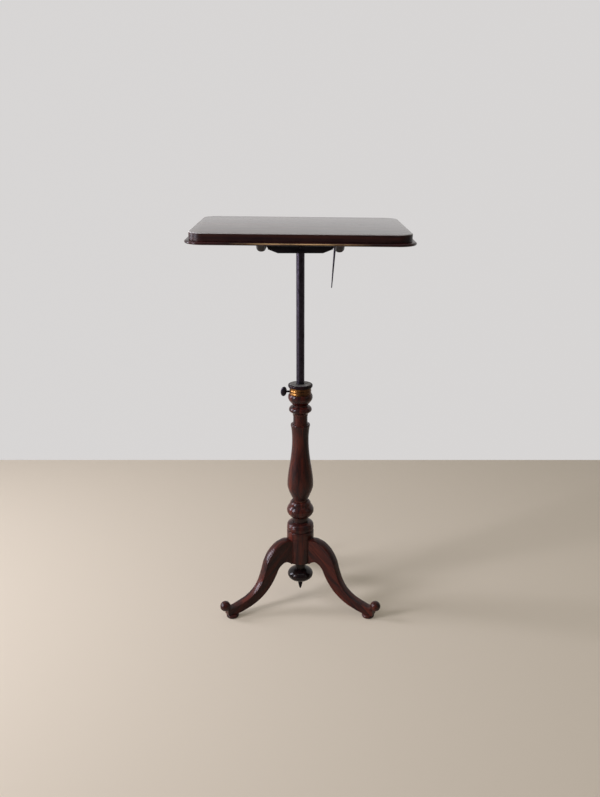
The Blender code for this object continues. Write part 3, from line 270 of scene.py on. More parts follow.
def make_wood(name, ground, streak, worn, grain="up", scale=60.0, squeeze=0.14, rough=0.32, coat=0.32,
              coat_rough=0.14, wear=0.35, dust=0.02, relief=0.00002, sheen=0.10, smear=1.0):
    """A polished wood with grain, wear on its edges, old wax and painted shade in its hollows, and thin dust.
    """
    mat, tree, place, marks, dusty = start_look(name, dust)
    turned = add(tree, "Mapping", {"Vector": place, "Rotation": GRAIN_TURNS[grain]}).outputs[0]
    masks = add(tree, "Group", {"Vector": turned, "Scale": scale, "Squeeze": squeeze},
                node_tree=grain_group).outputs
    body = blend(tree, masks["Figure"], streak, ground)
    # The hollows get the dark colour, which is partly old wax and partly painted shade
    for mask, share, tone in ((masks["Lines"], LINES_SHARE, streak), (marks["Wear"], wear, worn),
                              (marks["Hollows"], WAX_AND_SHADE_SHARE, WAX_AND_PAINTED_SHADE), (masks["Pores"], PORES_SHARE, OPEN_PORE)):
        body = blend(tree, times(tree, mask, share), body, tone)
    rubbed = times(tree, marks["Wear"], wear)
    smears = cloudy(tree, place, SMEAR_SCALE, detail=4.0, rough=0.6)
    smears = spread(tree, smears, *CLOUD_RANGE, SMOOTHEST * smear, ROUGHEST * smear)
    dull = plus(tree, times(tree, rubbed, RUBBED_DULL), times(tree, dusty, DUSTY_DULL))
    raised = calc(tree, "SUBTRACT", times(tree, masks["Lines"], LINES_STAND), masks["Pores"])
    fill(tree, tree.nodes["Principled BSDF"], {
        "Base Color": blend(tree, dusty, body, DUST_COLOUR),
        "Normal": bumped(tree, GRAIN_BUMP, relief, raised),
        "Roughness": plus(tree, plus(tree, smears, rough), dull, True), "Specular IOR Level": sheen,
        "Coat Weight": coat, "Coat Roughness": coat_rough})
    return mat


RED_GROUND = (0.110, 0.020, 0.011)
BLACK_STREAK = (0.020, 0.006, 0.006)
WORN_WOOD = (0.30, 0.085, 0.035)
turned_wood = make_wood("rosewood_turned", RED_GROUND, BLACK_STREAK, WORN_WOOD)
leg_wood = make_wood("rosewood_legs", RED_GROUND, BLACK_STREAK, WORN_WOOD, "down_the_leg", scale=52.0,
                     coat=0.24)
print("turned wood and leg wood made")

# %% [markdown]
# ## The top's wood, and the darker inner woods
#
# The top is the same rosewood, laid with its grain from left to right. It carries the fullest polish, so
# that at a low angle it mirrors the wall. The block and the bearers under it are stained almost black and
# have next to no polish, and part of their darkness is painted shade, since they stand in shade under the
# top. The lip under the top has a golden brown along its nose, most of all in the middle of the front,
# which is partly wear where sleeves touch it and partly a painted highlight.

# %% Top, lip, block and bearer woods
LIP_GROUND = (0.060, 0.012, 0.012)
STAIN_WORN = (0.09, 0.03, 0.022)

top_wood = make_wood("rosewood_top", (0.082, 0.027, 0.017), (0.016, 0.007, 0.008), (0.10, 0.04, 0.03),
                     "across", scale=34.0, squeeze=0.05, coat_rough=0.16, wear=0.2, relief=0.000002,
                     sheen=0.15, smear=0.3)
# The block's and the bearers' near-black colours are partly painted shade: both stand in shade under the top
block_wood_with_painted_shade = make_wood("stained_block_with_painted_shade", (0.008, 0.005, 0.008), (0.004, 0.003, 0.005), (0.030, 0.014, 0.014),
                       "across", rough=0.45, coat=0.05, wear=0.3, sheen=0.15)
bearer_wood_with_painted_shade = make_wood("stained_bearers_with_painted_shade", (0.020, 0.009, 0.011), (0.008, 0.004, 0.006),
                        (0.05, 0.02, 0.018), "deep", rough=0.42, coat=0.08, wear=0.3, sheen=0.15)
finial_wood = make_wood("stained_finial", (0.032, 0.010, 0.007), (0.006, 0.003, 0.004), STAIN_WORN,
                        rough=0.28, wear=0.25)
cap_wood = make_wood("stained_cap", (0.034, 0.011, 0.013), (0.012, 0.005, 0.008), STAIN_WORN, rough=0.34,
                     coat=0.12, wear=0.25, sheen=0.06)
front_lip_wood = make_wood("rosewood_lip_front", LIP_GROUND, BLACK_STREAK, WORN_WOOD, "across", wear=0.2)
side_lip_wood = make_wood("rosewood_lip_side", LIP_GROUND, BLACK_STREAK, WORN_WOOD, "deep", wear=0.2)
print("wood finishes:", [mat.name for mat in bpy.data.materials if mat.name.startswith(("rose", "stained"))])

# %% Wear and painted light that depend on the place
GOLDEN_HIGHLIGHT_AND_WEAR = (0.95, 0.60, 0.27)
PALE_ARRIS_HIGHLIGHT = (0.55, 0.52, 0.48)
BROWN_SHADE_AND_TARNISH = (0.055, 0.024, 0.014)
WAX_IOR = 1.3
NOSE_FROM, NOSE_TO = (0.30, 0.46), (0.58, 0.74)
FULL_NOSE_MARK_SHARE = 0.25
NOSE_MARK_DRAWN_OUT = (0.12, 1.0, 1.0)
NOSE_MARK_SCALE = 140.0
NOSE_MARK_RANGE = (0.30, 0.52, 0.3, 1.0)
ARRIS_FROM, ARRIS_TO = (0.10, 0.35), (0.965, 0.995)
ARRIS_HIGHLIGHT_SHARE = 0.85
FLAT_FACE = (0.6, 0.97)
SHADE_AND_TARNISH_SCALE = 90.0
SHADE_AND_TARNISH_SHARE = 0.9
RAGGED = 0.004


def over(tree, socket, change):
    """Feed one of the shader's inputs with a change of what feeds it now."""
    target = tree.nodes["Principled BSDF"].inputs[socket]
    tree.links.new(change(target.links[0].from_socket), target)


def paint_nose_highlight_and_wear(tree, low, high, half_length):
    """Golden brown along the lip's nose, partly rubbed wear and partly a painted highlight, strongest in the
    middle of its length and broken up by clouds.
    """
    place = add(tree, "TexCoord").outputs["Object"]
    rise = calc(tree, "DIVIDE", calc(tree, "SUBTRACT", own(tree, "Object", 2), low), high - low)
    band = times(tree, spread(tree, rise, *NOSE_FROM), spread(tree, rise, *NOSE_TO, 1.0, 0.0))
    away = calc(tree, "ABSOLUTE", own(tree, "Object", 0))
    middle = spread(tree, away, FULL_NOSE_MARK_SHARE * half_length, half_length, 1.0, 0.0)
    clouds = cloudy(tree, stretch(tree, place, NOSE_MARK_DRAWN_OUT), NOSE_MARK_SCALE, detail=4.0, rough=0.65)
    rubbed = times(tree, times(tree, band, middle), spread(tree, clouds, *NOSE_MARK_RANGE), True)
    over(tree, "Base Color", lambda before: blend(tree, rubbed, before, GOLDEN_HIGHLIGHT_AND_WEAR))


def paint_arris_highlight(tree):
    """A pale painted highlight along the board's upper edge, where its surface turns from up to outwards."""
    up = own(tree, "Normal", 2)
    edge = times(tree, spread(tree, up, *ARRIS_FROM), spread(tree, up, *ARRIS_TO, 1.0, 0.0))
    over(tree, "Base Color", lambda before: blend(tree, times(tree, edge, ARRIS_HIGHLIGHT_SHARE), before, PALE_ARRIS_HIGHLIGHT))


def thin_edge_polish(tree, face_coat, edge_coat, edge_dull):
    """Full wax polish on the board's face, and little of it on its edges, where it has been handled."""
    up = own(tree, "Normal", 2)
    coat = spread(tree, up, *FLAT_FACE, edge_coat, face_coat)
    fill(tree, tree.nodes["Principled BSDF"], {"Coat IOR": WAX_IOR, "Coat Weight": coat})
    dull = spread(tree, up, *FLAT_FACE, edge_dull, 0.0)
    over(tree, "Roughness", lambda before: plus(tree, before, dull, True))


def paint_shade_and_tarnish_along_x(tree, bright_x, dark_x):
    """Brown painted shade, with some tarnish, that fades in along X from the side that stays bright."""
    clouds = cloudy(tree, add(tree, "TexCoord").outputs["Object"], SHADE_AND_TARNISH_SCALE)
    ragged = plus(tree, own(tree, "Object", 0), spread(tree, clouds, *CLOUD_RANGE, -RAGGED, RAGGED))
    share = spread(tree, ragged, bright_x, dark_x, 0.0, SHADE_AND_TARNISH_SHARE)
    over(tree, "Base Color", lambda before: blend(tree, share, before, BROWN_SHADE_AND_TARNISH))


# The pale line along the board's upper arris is a painted highlight
paint_arris_highlight(top_wood.node_tree)
thin_edge_polish(top_wood.node_tree, face_coat=1.0, edge_coat=0.06, edge_dull=0.05)
print("the top's arris and edge polish are worn")

# %% [markdown]
# ## The metals
#
# The rod and the small ironwork are blackened iron, with brown spots where the black has gone. The
# collar's band is lacquered brass, bright on the left by the thumbscrew and browned all the rest of the way
# round, where the brown is painted shade with some tarnish. The plate in the cap is a dulled grey. Metal
# shows what it reflects, so its roughness matters more than its colour, and clouds in the roughness are
# what keeps it from looking like plastic.

# %% Metal finishes
SCRATCH_STRETCH = (1.0, 1.0, 0.06)
SCRATCH_SCALE = 1800.0
SCRATCH_STAND, SPOT_STAND = 0.4, 0.6
TARNISH_RANGE, SPOT_RANGE = (0.35, 0.65), (0.60, 0.70)
SPOTS_TO_CLOUDS = 3
WORN_SHARE, HOLLOW_SHARE = 0.7, 0.8
DARK_ROUGHER, BRIGHT_SMOOTHER = 0.12, 0.05
SPOT_BARE = 0.7
DUSTY_METAL_DULL = 0.5
METAL_BUMP, METAL_RELIEF = 0.35, 0.00006


def make_metal(name, bright, dark, spot, rough, spots=0.5, scale=70.0, dust=0.2, metallic=1.0):
    """A metal with tarnish in clouds and hollows, brighter edges, fine scratches and dust."""
    mat, tree, place, marks, dusty = start_look(name, dust, Reach=0.05, Patches=120.0)
    clouds = spread(tree, cloudy(tree, place, scale, detail=5.0, rough=0.6), *TARNISH_RANGE)
    spotted = cloudy(tree, place, scale * SPOTS_TO_CLOUDS, detail=4.0, rough=0.7)
    spotted = spread(tree, spotted, *SPOT_RANGE, 0.0, spots)
    body = blend(tree, clouds, dark, bright)
    body = blend(tree, times(tree, marks["Wear"], WORN_SHARE), body, bright)
    body = blend(tree, times(tree, marks["Hollows"], HOLLOW_SHARE), body, dark)
    body = blend(tree, dusty, blend(tree, spotted, body, spot), DUST_COLOUR)
    scratches = cloudy(tree, stretch(tree, place, SCRATCH_STRETCH), SCRATCH_SCALE, detail=2.0, rough=0.6)
    uneven = spread(tree, clouds, 0.0, 1.0, rough + DARK_ROUGHER, rough - BRIGHT_SMOOTHER)
    height = plus(tree, times(tree, scratches, SCRATCH_STAND), times(tree, spotted, SPOT_STAND))
    fill(tree, tree.nodes["Principled BSDF"], {
        "Base Color": body,
        "Metallic": calc(tree, "SUBTRACT", metallic, times(tree, spotted, SPOT_BARE), True),
        "Roughness": plus(tree, uneven, times(tree, dusty, DUSTY_METAL_DULL), True),
        "Normal": bumped(tree, METAL_BUMP, METAL_RELIEF, height)})
    return mat


BROWN_SPOT = (0.09, 0.035, 0.012)
iron = make_metal("blackened_iron", (0.050, 0.042, 0.055), (0.016, 0.013, 0.017), (0.060, 0.026, 0.018),
                  0.38, dust=0.02)
spike_iron = make_metal("spike_iron", (0.020, 0.016, 0.018), (0.008, 0.007, 0.008), (0.030, 0.015, 0.010),
                        0.50, dust=0.0)
brass = make_metal("lacquered_brass", (0.60, 0.30, 0.07), (0.20, 0.08, 0.02), BROWN_SPOT, 0.30, spots=0.35,
                   dust=0.03)
plate_metal = make_metal("dulled_plate", (0.25, 0.235, 0.21), (0.15, 0.14, 0.12), (0.10, 0.085, 0.06), 0.50,
                         metallic=0.3)
band_brass = make_metal("band_brass", (0.36, 0.17, 0.046), (0.13, 0.055, 0.017), BROWN_SPOT, 0.30,
                        spots=0.45, dust=0.03)
# The brown that fades in along the band towards the right is painted shade, with some tarnish
paint_shade_and_tarnish_along_x(band_brass.node_tree, bright_x=-0.012, dark_x=0.002)
print("metal finishes:", [mat.name for mat in (iron, spike_iron, brass, band_brass, plate_metal)])

# %% [markdown]
# ## Shapes that a lathe makes
#
# Most of the stand is turned, so most of it can be made the way a lathe makes it: draw half of the
# section as (radius, height) points, and spin it about the axis. Beads and hollows are parts of ellipses,
# and long swells are sweeps whose radius follows a smooth rule. The solids use the same outlines with few
# points. Here FINE asks for more of them, so that the pale highlights run without facets.

# %% Lathe helpers
GAP = 0.0003
FINE = 4
TURNED_STEPS = 96
SMALL_STEPS = 48
SCREW_STEPS = 32
MERGE = 0.000002


def spaced(steps, stop=math.pi / 2, start=0.0):
    """Even steps from start to stop, a quarter turn unless told otherwise."""
    return [start + (stop - start) * i / steps for i in range(steps + 1)]


def turn(outline, steps, along_x=False):
    """Spin (radius, height) points about the axis; an outline that starts off the axis is closed first."""
    bm = bmesh.new()
    verts = [bm.verts.new((r, 0, z)) for r, z in outline]
    edges = [bm.edges.new(pair) for pair in zip(verts, verts[1:])]
    if outline[0][0] > 0:
        edges.append(bm.edges.new((verts[-1], verts[0])))
    bmesh.ops.spin(bm, geom=verts + edges, cent=(0, 0, 0), axis=(0, 0, 1), angle=math.tau, steps=steps,
                   use_merge=True)
    bmesh.ops.remove_doubles(bm, verts=bm.verts, dist=MERGE)
    if along_x:
        rotate(bm, 90, "Y")
    return bm


def rotate(bm, degrees, axis):
    """A bmesh turned about an axis."""
    bmesh.ops.rotate(bm, verts=bm.verts, matrix=Matrix.Rotation(math.radians(degrees), 3, axis))
    return bm


def bar(radius, low, high, steps, along_x=False):
    """A plain round bar between two places on its axis."""
    return turn([(0, low), (radius, low), (radius, high), (0, high)], steps, along_x)


def join_meshes(parts):
    """Several bmeshes as one, their solids kept apart."""
    whole = bmesh.new()
    for part in parts:
        mesh = bpy.data.meshes.new("part")
        part.to_mesh(mesh)
        part.free()
        whole.from_mesh(mesh)
        bpy.data.meshes.remove(mesh)
    return whole


def stacked_rings(rings):
    """Skin a stack of rings of equal count and close both ends."""
    bm = bmesh.new()
    loops = [[bm.verts.new(point) for point in ring] for ring in rings]
    count = len(loops[0])
    for lower, upper in zip(loops, loops[1:]):
        for i in range(count):
            j = (i + 1) % count
            bm.faces.new((lower[i], lower[j], upper[j], upper[i]))
    bm.faces.new(loops[0])
    bm.faces.new(loops[-1])
    return bm


def bulge(core, out, mid, half, low, high, steps):
    """An ellipse about (core, mid), from radius low below its middle to radius high above it."""
    start, stop = (math.acos(max(-1.0, min(1.0, (edge - core) / (out - core)))) for edge in (low, high))
    return [(core + (out - core) * math.cos(a), mid + half * math.sin(a))
            for a in spaced(steps * FINE, stop, -start)]


def bead(core, out, foot, height, steps):
    """Half an ellipse that stands out from a core, over a height."""
    return bulge(core, out, foot + height / 2, height / 2, core, core, steps)


def sweep(start, stop, steps, rule):
    """Points after start up to stop, the radius following a rule from 0 to 1."""
    return [(start[0] + (stop[0] - start[0]) * rule(t), start[1] + (stop[1] - start[1]) * t)
            for t in spaced(steps * FINE, 1.0)[1:]]


def ogee(t):
    """Slow at both ends."""
    return (1 - math.cos(math.pi * t)) / 2


def swelling(t):
    """Quick at first with a slight hollow, slow at the end."""
    return math.sin(math.pi * t / 2) * 4 / 5 + ogee(t) / 5


def squared(t):
    """Slow at first, quick at the end."""
    return t * t


print("lathe helpers ready")

# %% [markdown]
# ## Pieces that ride on bodies
#
# A finer piece has to be told two things: the body that it rides on and the solid that it stands for.
# Both follow from the solid's name. Small empties mark the column's axis and the axis that the top tilts
# on, and pieces are laid out from them as the solids were.

# %% Piece helpers
SHARP_ANGLE = 35
EASED_ANGLE = math.radians(40)
COLUMN_PLACE = (-0.000283, -0.022802, 0.0)
ORIGIN = (0, 0, 0)
layout_axes = []


def put(thing, parent=None, location=ORIGIN, rotation=ORIGIN):
    """Put an object into the scene, laid out from its parent."""
    bpy.context.collection.objects.link(thing)
    thing.parent, thing.location, thing.rotation_euler = parent, location, rotation
    return thing


def make_axis(name, parent, location=ORIGIN, rotation=ORIGIN):
    """An empty that pieces are laid out from."""
    layout_axes.append(put(bpy.data.objects.new(name, None), parent, location, rotation))
    return layout_axes[-1]


def shade(mesh, sharp=SHARP_ANGLE):
    """Shade a mesh smooth between its sharp edges."""
    mesh.shade_smooth()
    mesh.set_sharp_from_angle(angle=math.radians(sharp))
    return mesh


def smooth_mesh(name, bm, sharp=SHARP_ANGLE):
    """A bmesh as a shaded mesh."""
    bmesh.ops.recalc_face_normals(bm, faces=bm.faces)
    mesh = bpy.data.meshes.new(name)
    bm.to_mesh(mesh)
    bm.free()
    return shade(mesh, sharp)


def set_piece(node, mesh, mat, parent, location=ORIGIN, rotation=ORIGIN):
    """A finer piece that stands for a solid and rides on its body."""
    piece = put(bpy.data.objects.new("shaped_" + node, mesh), parent, location, rotation)
    if not mesh.materials:
        mesh.materials.append(mat)
    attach(piece, BODY_OF[node])
    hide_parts(node)
    return piece


def make_object(node, bm, mat, parent, location=ORIGIN, rotation=ORIGIN):
    """A finer piece from a bmesh."""
    return set_piece(node, smooth_mesh("shaped_" + node, bm), mat, parent, location, rotation)


def make_turned(node, outline, mat, base, steps=TURNED_STEPS):
    """A turned piece that stands on the column's axis."""
    return make_object(node, turn(outline, steps), mat, stand_axis, (0, 0, base))


def modify(piece, kind, **settings):
    """Put a modifier on a piece and turn its result into the piece's own mesh."""
    mod = piece.modifiers.new(kind, kind)
    for key, value in settings.items():
        setattr(mod, key, value)
    bpy.context.view_layer.update()
    graph = bpy.context.evaluated_depsgraph_get()
    mesh = bpy.data.meshes.new_from_object(piece.evaluated_get(graph))
    piece.modifiers.clear()
    piece.data = shade(mesh)


def cut(piece, bm, parent, location=ORIGIN, rotation=ORIGIN):
    """Cut a shape out of a piece."""
    tool = put(bpy.data.objects.new("cutter", smooth_mesh("cutter", bm)), parent, location, rotation)
    bpy.context.view_layer.update()
    modify(piece, "BOOLEAN", operation="DIFFERENCE", solver="EXACT", object=tool)
    bpy.data.objects.remove(tool, do_unlink=True)


def ease(piece, width):
    """Round a piece's sharp edges a little, as sandpaper and years of hands do."""
    modify(piece, "BEVEL", width=width, segments=2, limit_method="ANGLE", angle_limit=EASED_ANGLE)


stand_axis = make_axis("stand_axis", None, COLUMN_PLACE)
print("column axis at", COLUMN_PLACE[:2])

# %% [markdown]
# ## The drum and its finial
#
# The drum is a short cylinder that the legs are dovetailed into, with two lines cut round it near the top.
# A flattened bulb closes it from below, and a small metal spike hangs from that. All are turned.

# %% Drum
DRUM_FOOT = 0.1225
DRUM_RADIUS, DRUM_HEIGHT = 0.0389, 0.0980
DRUM_EDGE = 0.0022
DRUM_FLOOR = 0.0495
LINE_BELOW_TOP, BEAD_BELOW_TOP = 0.0205, 0.0044
LINE_DEPTH, LINE_WIDTH = 0.0010, 0.0016
TENON_RADIUS, TENON_LENGTH = 0.0170, 0.0150
SOCKET_RADIUS = TENON_RADIUS + GAP
SOCKET_DEPTH = TENON_LENGTH + GAP
ROD_RADIUS = 0.0111
ROD_CLEARANCE = 0.0008
BORE_RADIUS = ROD_RADIUS + ROD_CLEARANCE
SPIGOT_RADIUS, SPIGOT_LENGTH = 0.0080, 0.022
DRUM_TOP = DRUM_FOOT + DRUM_HEIGHT

eased_edge = [(DRUM_RADIUS - DRUM_EDGE * (1 - math.sin(a)), DRUM_EDGE * (1 - math.cos(a))) for a in spaced(8)]
hole = SPIGOT_RADIUS + GAP
shape = [(0, SPIGOT_LENGTH + GAP), (hole, SPIGOT_LENGTH + GAP), (hole, 0)] + eased_edge
for line in (DRUM_HEIGHT - LINE_BELOW_TOP, DRUM_HEIGHT - BEAD_BELOW_TOP):
    shape += [(DRUM_RADIUS, line - LINE_WIDTH / 2), (DRUM_RADIUS - LINE_DEPTH, line),
              (DRUM_RADIUS, line + LINE_WIDTH / 2)]
shape += [(r, DRUM_HEIGHT - z) for r, z in reversed(eased_edge)]
shape += [(SOCKET_RADIUS, DRUM_HEIGHT), (SOCKET_RADIUS, DRUM_HEIGHT - SOCKET_DEPTH),
          (BORE_RADIUS, DRUM_HEIGHT - SOCKET_DEPTH), (BORE_RADIUS, DRUM_FLOOR), (0, DRUM_FLOOR)]
drum = make_turned("drum", shape, turned_wood, DRUM_FOOT)
print("drum:", len(drum.data.polygons), "faces")

# %% Finial and spike
FINIAL_MID = -0.0464
FINIAL_HALF_HEIGHT = 0.0196
FINIAL_CORE, FINIAL_NECK, FINIAL_FLARE, FINIAL_RADIUS = 0.0060, 0.0150, 0.0200, 0.0371
FLARE_HEIGHT = 0.0110
SEAT_RADIUS = 0.0095
SHANK_RADIUS, SHANK_LENGTH = 0.0030, 0.012
SPIKE_COLLAR, SPIKE_ROOT, SPIKE_TIP = 0.0080, 0.0066, 0.0012
SPIKE_COLLAR_HEIGHT, SPIKE_LENGTH = 0.0085, 0.0235

bulb = bulge(FINIAL_CORE, FINIAL_RADIUS, FINIAL_MID, FINIAL_HALF_HEIGHT, SEAT_RADIUS, FINIAL_NECK, 10)
seat = bulb[0][1]
shank_top = seat + SHANK_LENGTH
hole = SHANK_RADIUS + GAP
flare = (FINIAL_NECK, -FLARE_HEIGHT)
shape = [(0, shank_top + GAP), (hole, shank_top + GAP), (hole, seat)] + bulb + [flare]
shape += sweep(flare, (FINIAL_FLARE, -GAP), 3, squared)
shape += [(SPIGOT_RADIUS, -GAP), (SPIGOT_RADIUS, SPIGOT_LENGTH), (0, SPIGOT_LENGTH)]
make_turned("finial", shape, finial_wood, DRUM_FOOT)

top = seat - GAP
foot = top - SPIKE_COLLAR_HEIGHT
tip = foot - SPIKE_LENGTH
shape = [(0, tip), (SPIKE_TIP, tip + SPIKE_TIP)]
shape += sweep(shape[-1], (SPIKE_ROOT, foot), 4, lambda t: math.sin(math.pi * t / 2))
shape += bead(SPIKE_ROOT, SPIKE_COLLAR, foot, SPIKE_COLLAR_HEIGHT, 4)[1:]
shape += [(SHANK_RADIUS, top), (SHANK_RADIUS, shank_top), (0, shank_top)]
make_turned("finial_spike", shape, spike_iron, DRUM_FOOT, SMALL_STEPS)
print("the finial's spike ends", round((DRUM_FOOT + tip) * 1000, 1), "mm over the floor")

# %% [markdown]
# ## The knop, the baluster and the collar
#
# Over the drum the column goes: broad bead, dome, neck, ball and step; then the vase-shaped baluster with
# its shoulder ring; then the collar with a round-topped disc, a cup and a bead. They are separate
# turnings, joined by round tenons, so each is a piece of its own here as well.

# %% Knop
BEAD_FOOT, BEAD_RADIUS, BEAD_HEIGHT = 0.0362, 0.0389, 0.0156
DOME_RADIUS, DOME_HEIGHT = 0.0380, 0.0102
NECK_RADIUS, NECK_HEIGHT = 0.0225, 0.0139
BALL_RADIUS, BALL_HALF_HEIGHT = 0.0387, 0.0270
BALL_UNDER, BALL_OVER = 0.0220, 0.0165
QUIRK_DEPTH, QUIRK_WIDTH = 0.0014, 0.0012
STEP_RADIUS, STEP_HEIGHT = 0.0303, 0.0113
BALUSTER_NECK = 0.0216
KNOP_BASE = DRUM_TOP + GAP

shape = [(BORE_RADIUS, -TENON_LENGTH), (TENON_RADIUS, -TENON_LENGTH), (TENON_RADIUS, 0)]
shape += bead(BEAD_FOOT, BEAD_RADIUS, 0, BEAD_HEIGHT, 6)
shape += bulge(NECK_RADIUS, DOME_RADIUS, BEAD_HEIGHT, DOME_HEIGHT, DOME_RADIUS, NECK_RADIUS, 6)
low, high = (math.sqrt(1 - (reach / BALL_HALF_HEIGHT) ** 2) * BALL_RADIUS
             for reach in (BALL_UNDER, BALL_OVER))
mid = BEAD_HEIGHT + DOME_HEIGHT + NECK_HEIGHT + BALL_UNDER
shape += bulge(0, BALL_RADIUS, mid, BALL_HALF_HEIGHT, low, high, 10)
quirk = mid + BALL_OVER
step = quirk + QUIRK_WIDTH
shape += [(high - QUIRK_DEPTH, quirk + QUIRK_WIDTH / 2)]
shape += bulge(BALUSTER_NECK, STEP_RADIUS, step, STEP_HEIGHT, STEP_RADIUS, BALUSTER_NECK, 5)
top = step + STEP_HEIGHT
shape += [(TENON_RADIUS, top), (TENON_RADIUS, top + TENON_LENGTH), (BORE_RADIUS, top + TENON_LENGTH)]
make_turned("column_knop", shape, turned_wood, KNOP_BASE)
BALUSTER_BASE = KNOP_BASE + top + GAP
print("knop from", round(KNOP_BASE, 4), "to", round(BALUSTER_BASE, 4))

# %% Baluster
BALUSTER_NECK_HEIGHT = 0.0043
BELLY_RADIUS, BELLY_RISE = 0.0370, 0.0478
WAIST_RADIUS, WAIST_RISE = 0.0233, 0.1350
SHOULDER_RADIUS, SHOULDER_RISE = 0.0262, 0.0375
RING_RADIUS, RING_HEIGHT = 0.0272, 0.0067
WAIST_FALL_SHARE = 0.85

belly = BALUSTER_NECK_HEIGHT + BELLY_RISE
waist = belly + WAIST_RISE
shoulder = waist + SHOULDER_RISE
top = shoulder + RING_HEIGHT
shape = [(SOCKET_RADIUS, 0), (BALUSTER_NECK, 0), (BALUSTER_NECK, BALUSTER_NECK_HEIGHT)]
shape += sweep(shape[-1], (BELLY_RADIUS, belly), 6, swelling)
shape += sweep(shape[-1], (WAIST_RADIUS, waist), 8, lambda t: ogee(t ** WAIST_FALL_SHARE))
shape += sweep(shape[-1], (SHOULDER_RADIUS, shoulder), 4, squared)
shape += bead(SHOULDER_RADIUS, RING_RADIUS, shoulder, RING_HEIGHT, 4)[1:]
shape += [(SOCKET_RADIUS, top), (SOCKET_RADIUS, top - SOCKET_DEPTH), (BORE_RADIUS, top - SOCKET_DEPTH),
          (BORE_RADIUS, SOCKET_DEPTH), (SOCKET_RADIUS, SOCKET_DEPTH)]
make_turned("baluster", shape, turned_wood, BALUSTER_BASE)
COLLAR_BASE = BALUSTER_BASE + top + GAP
print("baluster from", round(BALUSTER_BASE, 4), "to", round(COLLAR_BASE, 4))

# %% Collar turning
COLLAR_FOOT = 0.0212
COLLAR_NECK, COLLAR_NECK_HEIGHT = 0.0200, 0.0287
FILLET_RADIUS, FILLET_HEIGHT = 0.0210, 0.0034
DISC_RADIUS = 0.0317
DISC_UNDER, DISC_EDGE, DISC_OVER = 0.0125, 0.0016, 0.0100
COLLAR_WAIST, COLLAR_WAIST_HEIGHT = 0.0208, 0.0034
CUP_RISE = 0.0215
CROWN_RADIUS, CROWN_HEIGHT = 0.0341, 0.0100
CORE_RADIUS = 0.0270
BAND_RADIUS, BAND_HEIGHT = 0.0302, 0.0179
CAP_HEIGHT = 0.0092
PLATE_THICKNESS, PLATE_PROUD = 0.0020, 0.0005

fillet = COLLAR_NECK_HEIGHT - FILLET_HEIGHT
disc = COLLAR_NECK_HEIGHT + DISC_UNDER
waist = disc + DISC_EDGE + DISC_OVER
crown = waist + COLLAR_WAIST_HEIGHT + CUP_RISE
top = crown + CROWN_HEIGHT
BAND_BASE = COLLAR_BASE + top + GAP
CAP_BASE = BAND_BASE + BAND_HEIGHT + GAP
COLUMN_TOP = CAP_BASE + CAP_HEIGHT + PLATE_PROUD
PLATE_BASE = COLUMN_TOP - PLATE_THICKNESS
core_top = PLATE_BASE - GAP - COLLAR_BASE
shape = [(BORE_RADIUS, -TENON_LENGTH), (TENON_RADIUS, -TENON_LENGTH), (TENON_RADIUS, 0), (COLLAR_FOOT, 0),
         (COLLAR_NECK, COLLAR_NECK_HEIGHT / 3), (COLLAR_NECK, fillet), (FILLET_RADIUS, fillet),
         (FILLET_RADIUS, COLLAR_NECK_HEIGHT)]
shape += sweep(shape[-1], (DISC_RADIUS, disc), 5, ogee)
shape += bulge(COLLAR_WAIST, DISC_RADIUS, disc + DISC_EDGE, DISC_OVER, DISC_RADIUS, COLLAR_WAIST, 5)
shape += [(COLLAR_WAIST, waist + COLLAR_WAIST_HEIGHT)]
shape += sweep(shape[-1], (CROWN_RADIUS, crown), 6, swelling)
shape += bulge(BAND_RADIUS, CROWN_RADIUS, crown, CROWN_HEIGHT, CROWN_RADIUS, BAND_RADIUS, 4)[1:]
shape += [(CORE_RADIUS, top), (CORE_RADIUS, core_top), (BORE_RADIUS, core_top)]
collar = make_turned("collar_turning", shape, turned_wood, COLLAR_BASE)
print("collar from", round(COLLAR_BASE, 4), "to", round(BAND_BASE, 4))

# %% [markdown]
# ## Brass band, cap, plate and thumbscrew
#
# A brass band with turned grooves strengthens the collar where the thumbscrew goes in. Over it sits a
# round-edged cap, and a plate let into the cap guides the rod. The thumbscrew is a flat oval on a thin
# stem, on the left of the photograph. The oval is a ball pressed flat, fuller in its middle.

# %% Band, cap and plate
GROOVE_DEPTH = 0.0008
GROOVE_COUNT = 2
CAP_RADIUS = 0.0340
CAP_UNDER = 0.0309
CAP_BELLY = CAP_HEIGHT * 0.62
PLATE_RADIUS = 0.0293
PLATE_HOLE = 0.0115

inner = CORE_RADIUS + GAP
land = BAND_HEIGHT / (2 * GROOVE_COUNT + 1)
shape = [(inner, 0), (BAND_RADIUS, 0)]
for i in range(GROOVE_COUNT):
    foot = land * (2 * i + 1)
    shape += [(BAND_RADIUS, foot), (BAND_RADIUS - GROOVE_DEPTH, foot + land / 2), (BAND_RADIUS, foot + land)]
shape += [(BAND_RADIUS, BAND_HEIGHT), (inner, BAND_HEIGHT)]
band = make_turned("collar_band", shape, band_brass, BAND_BASE)

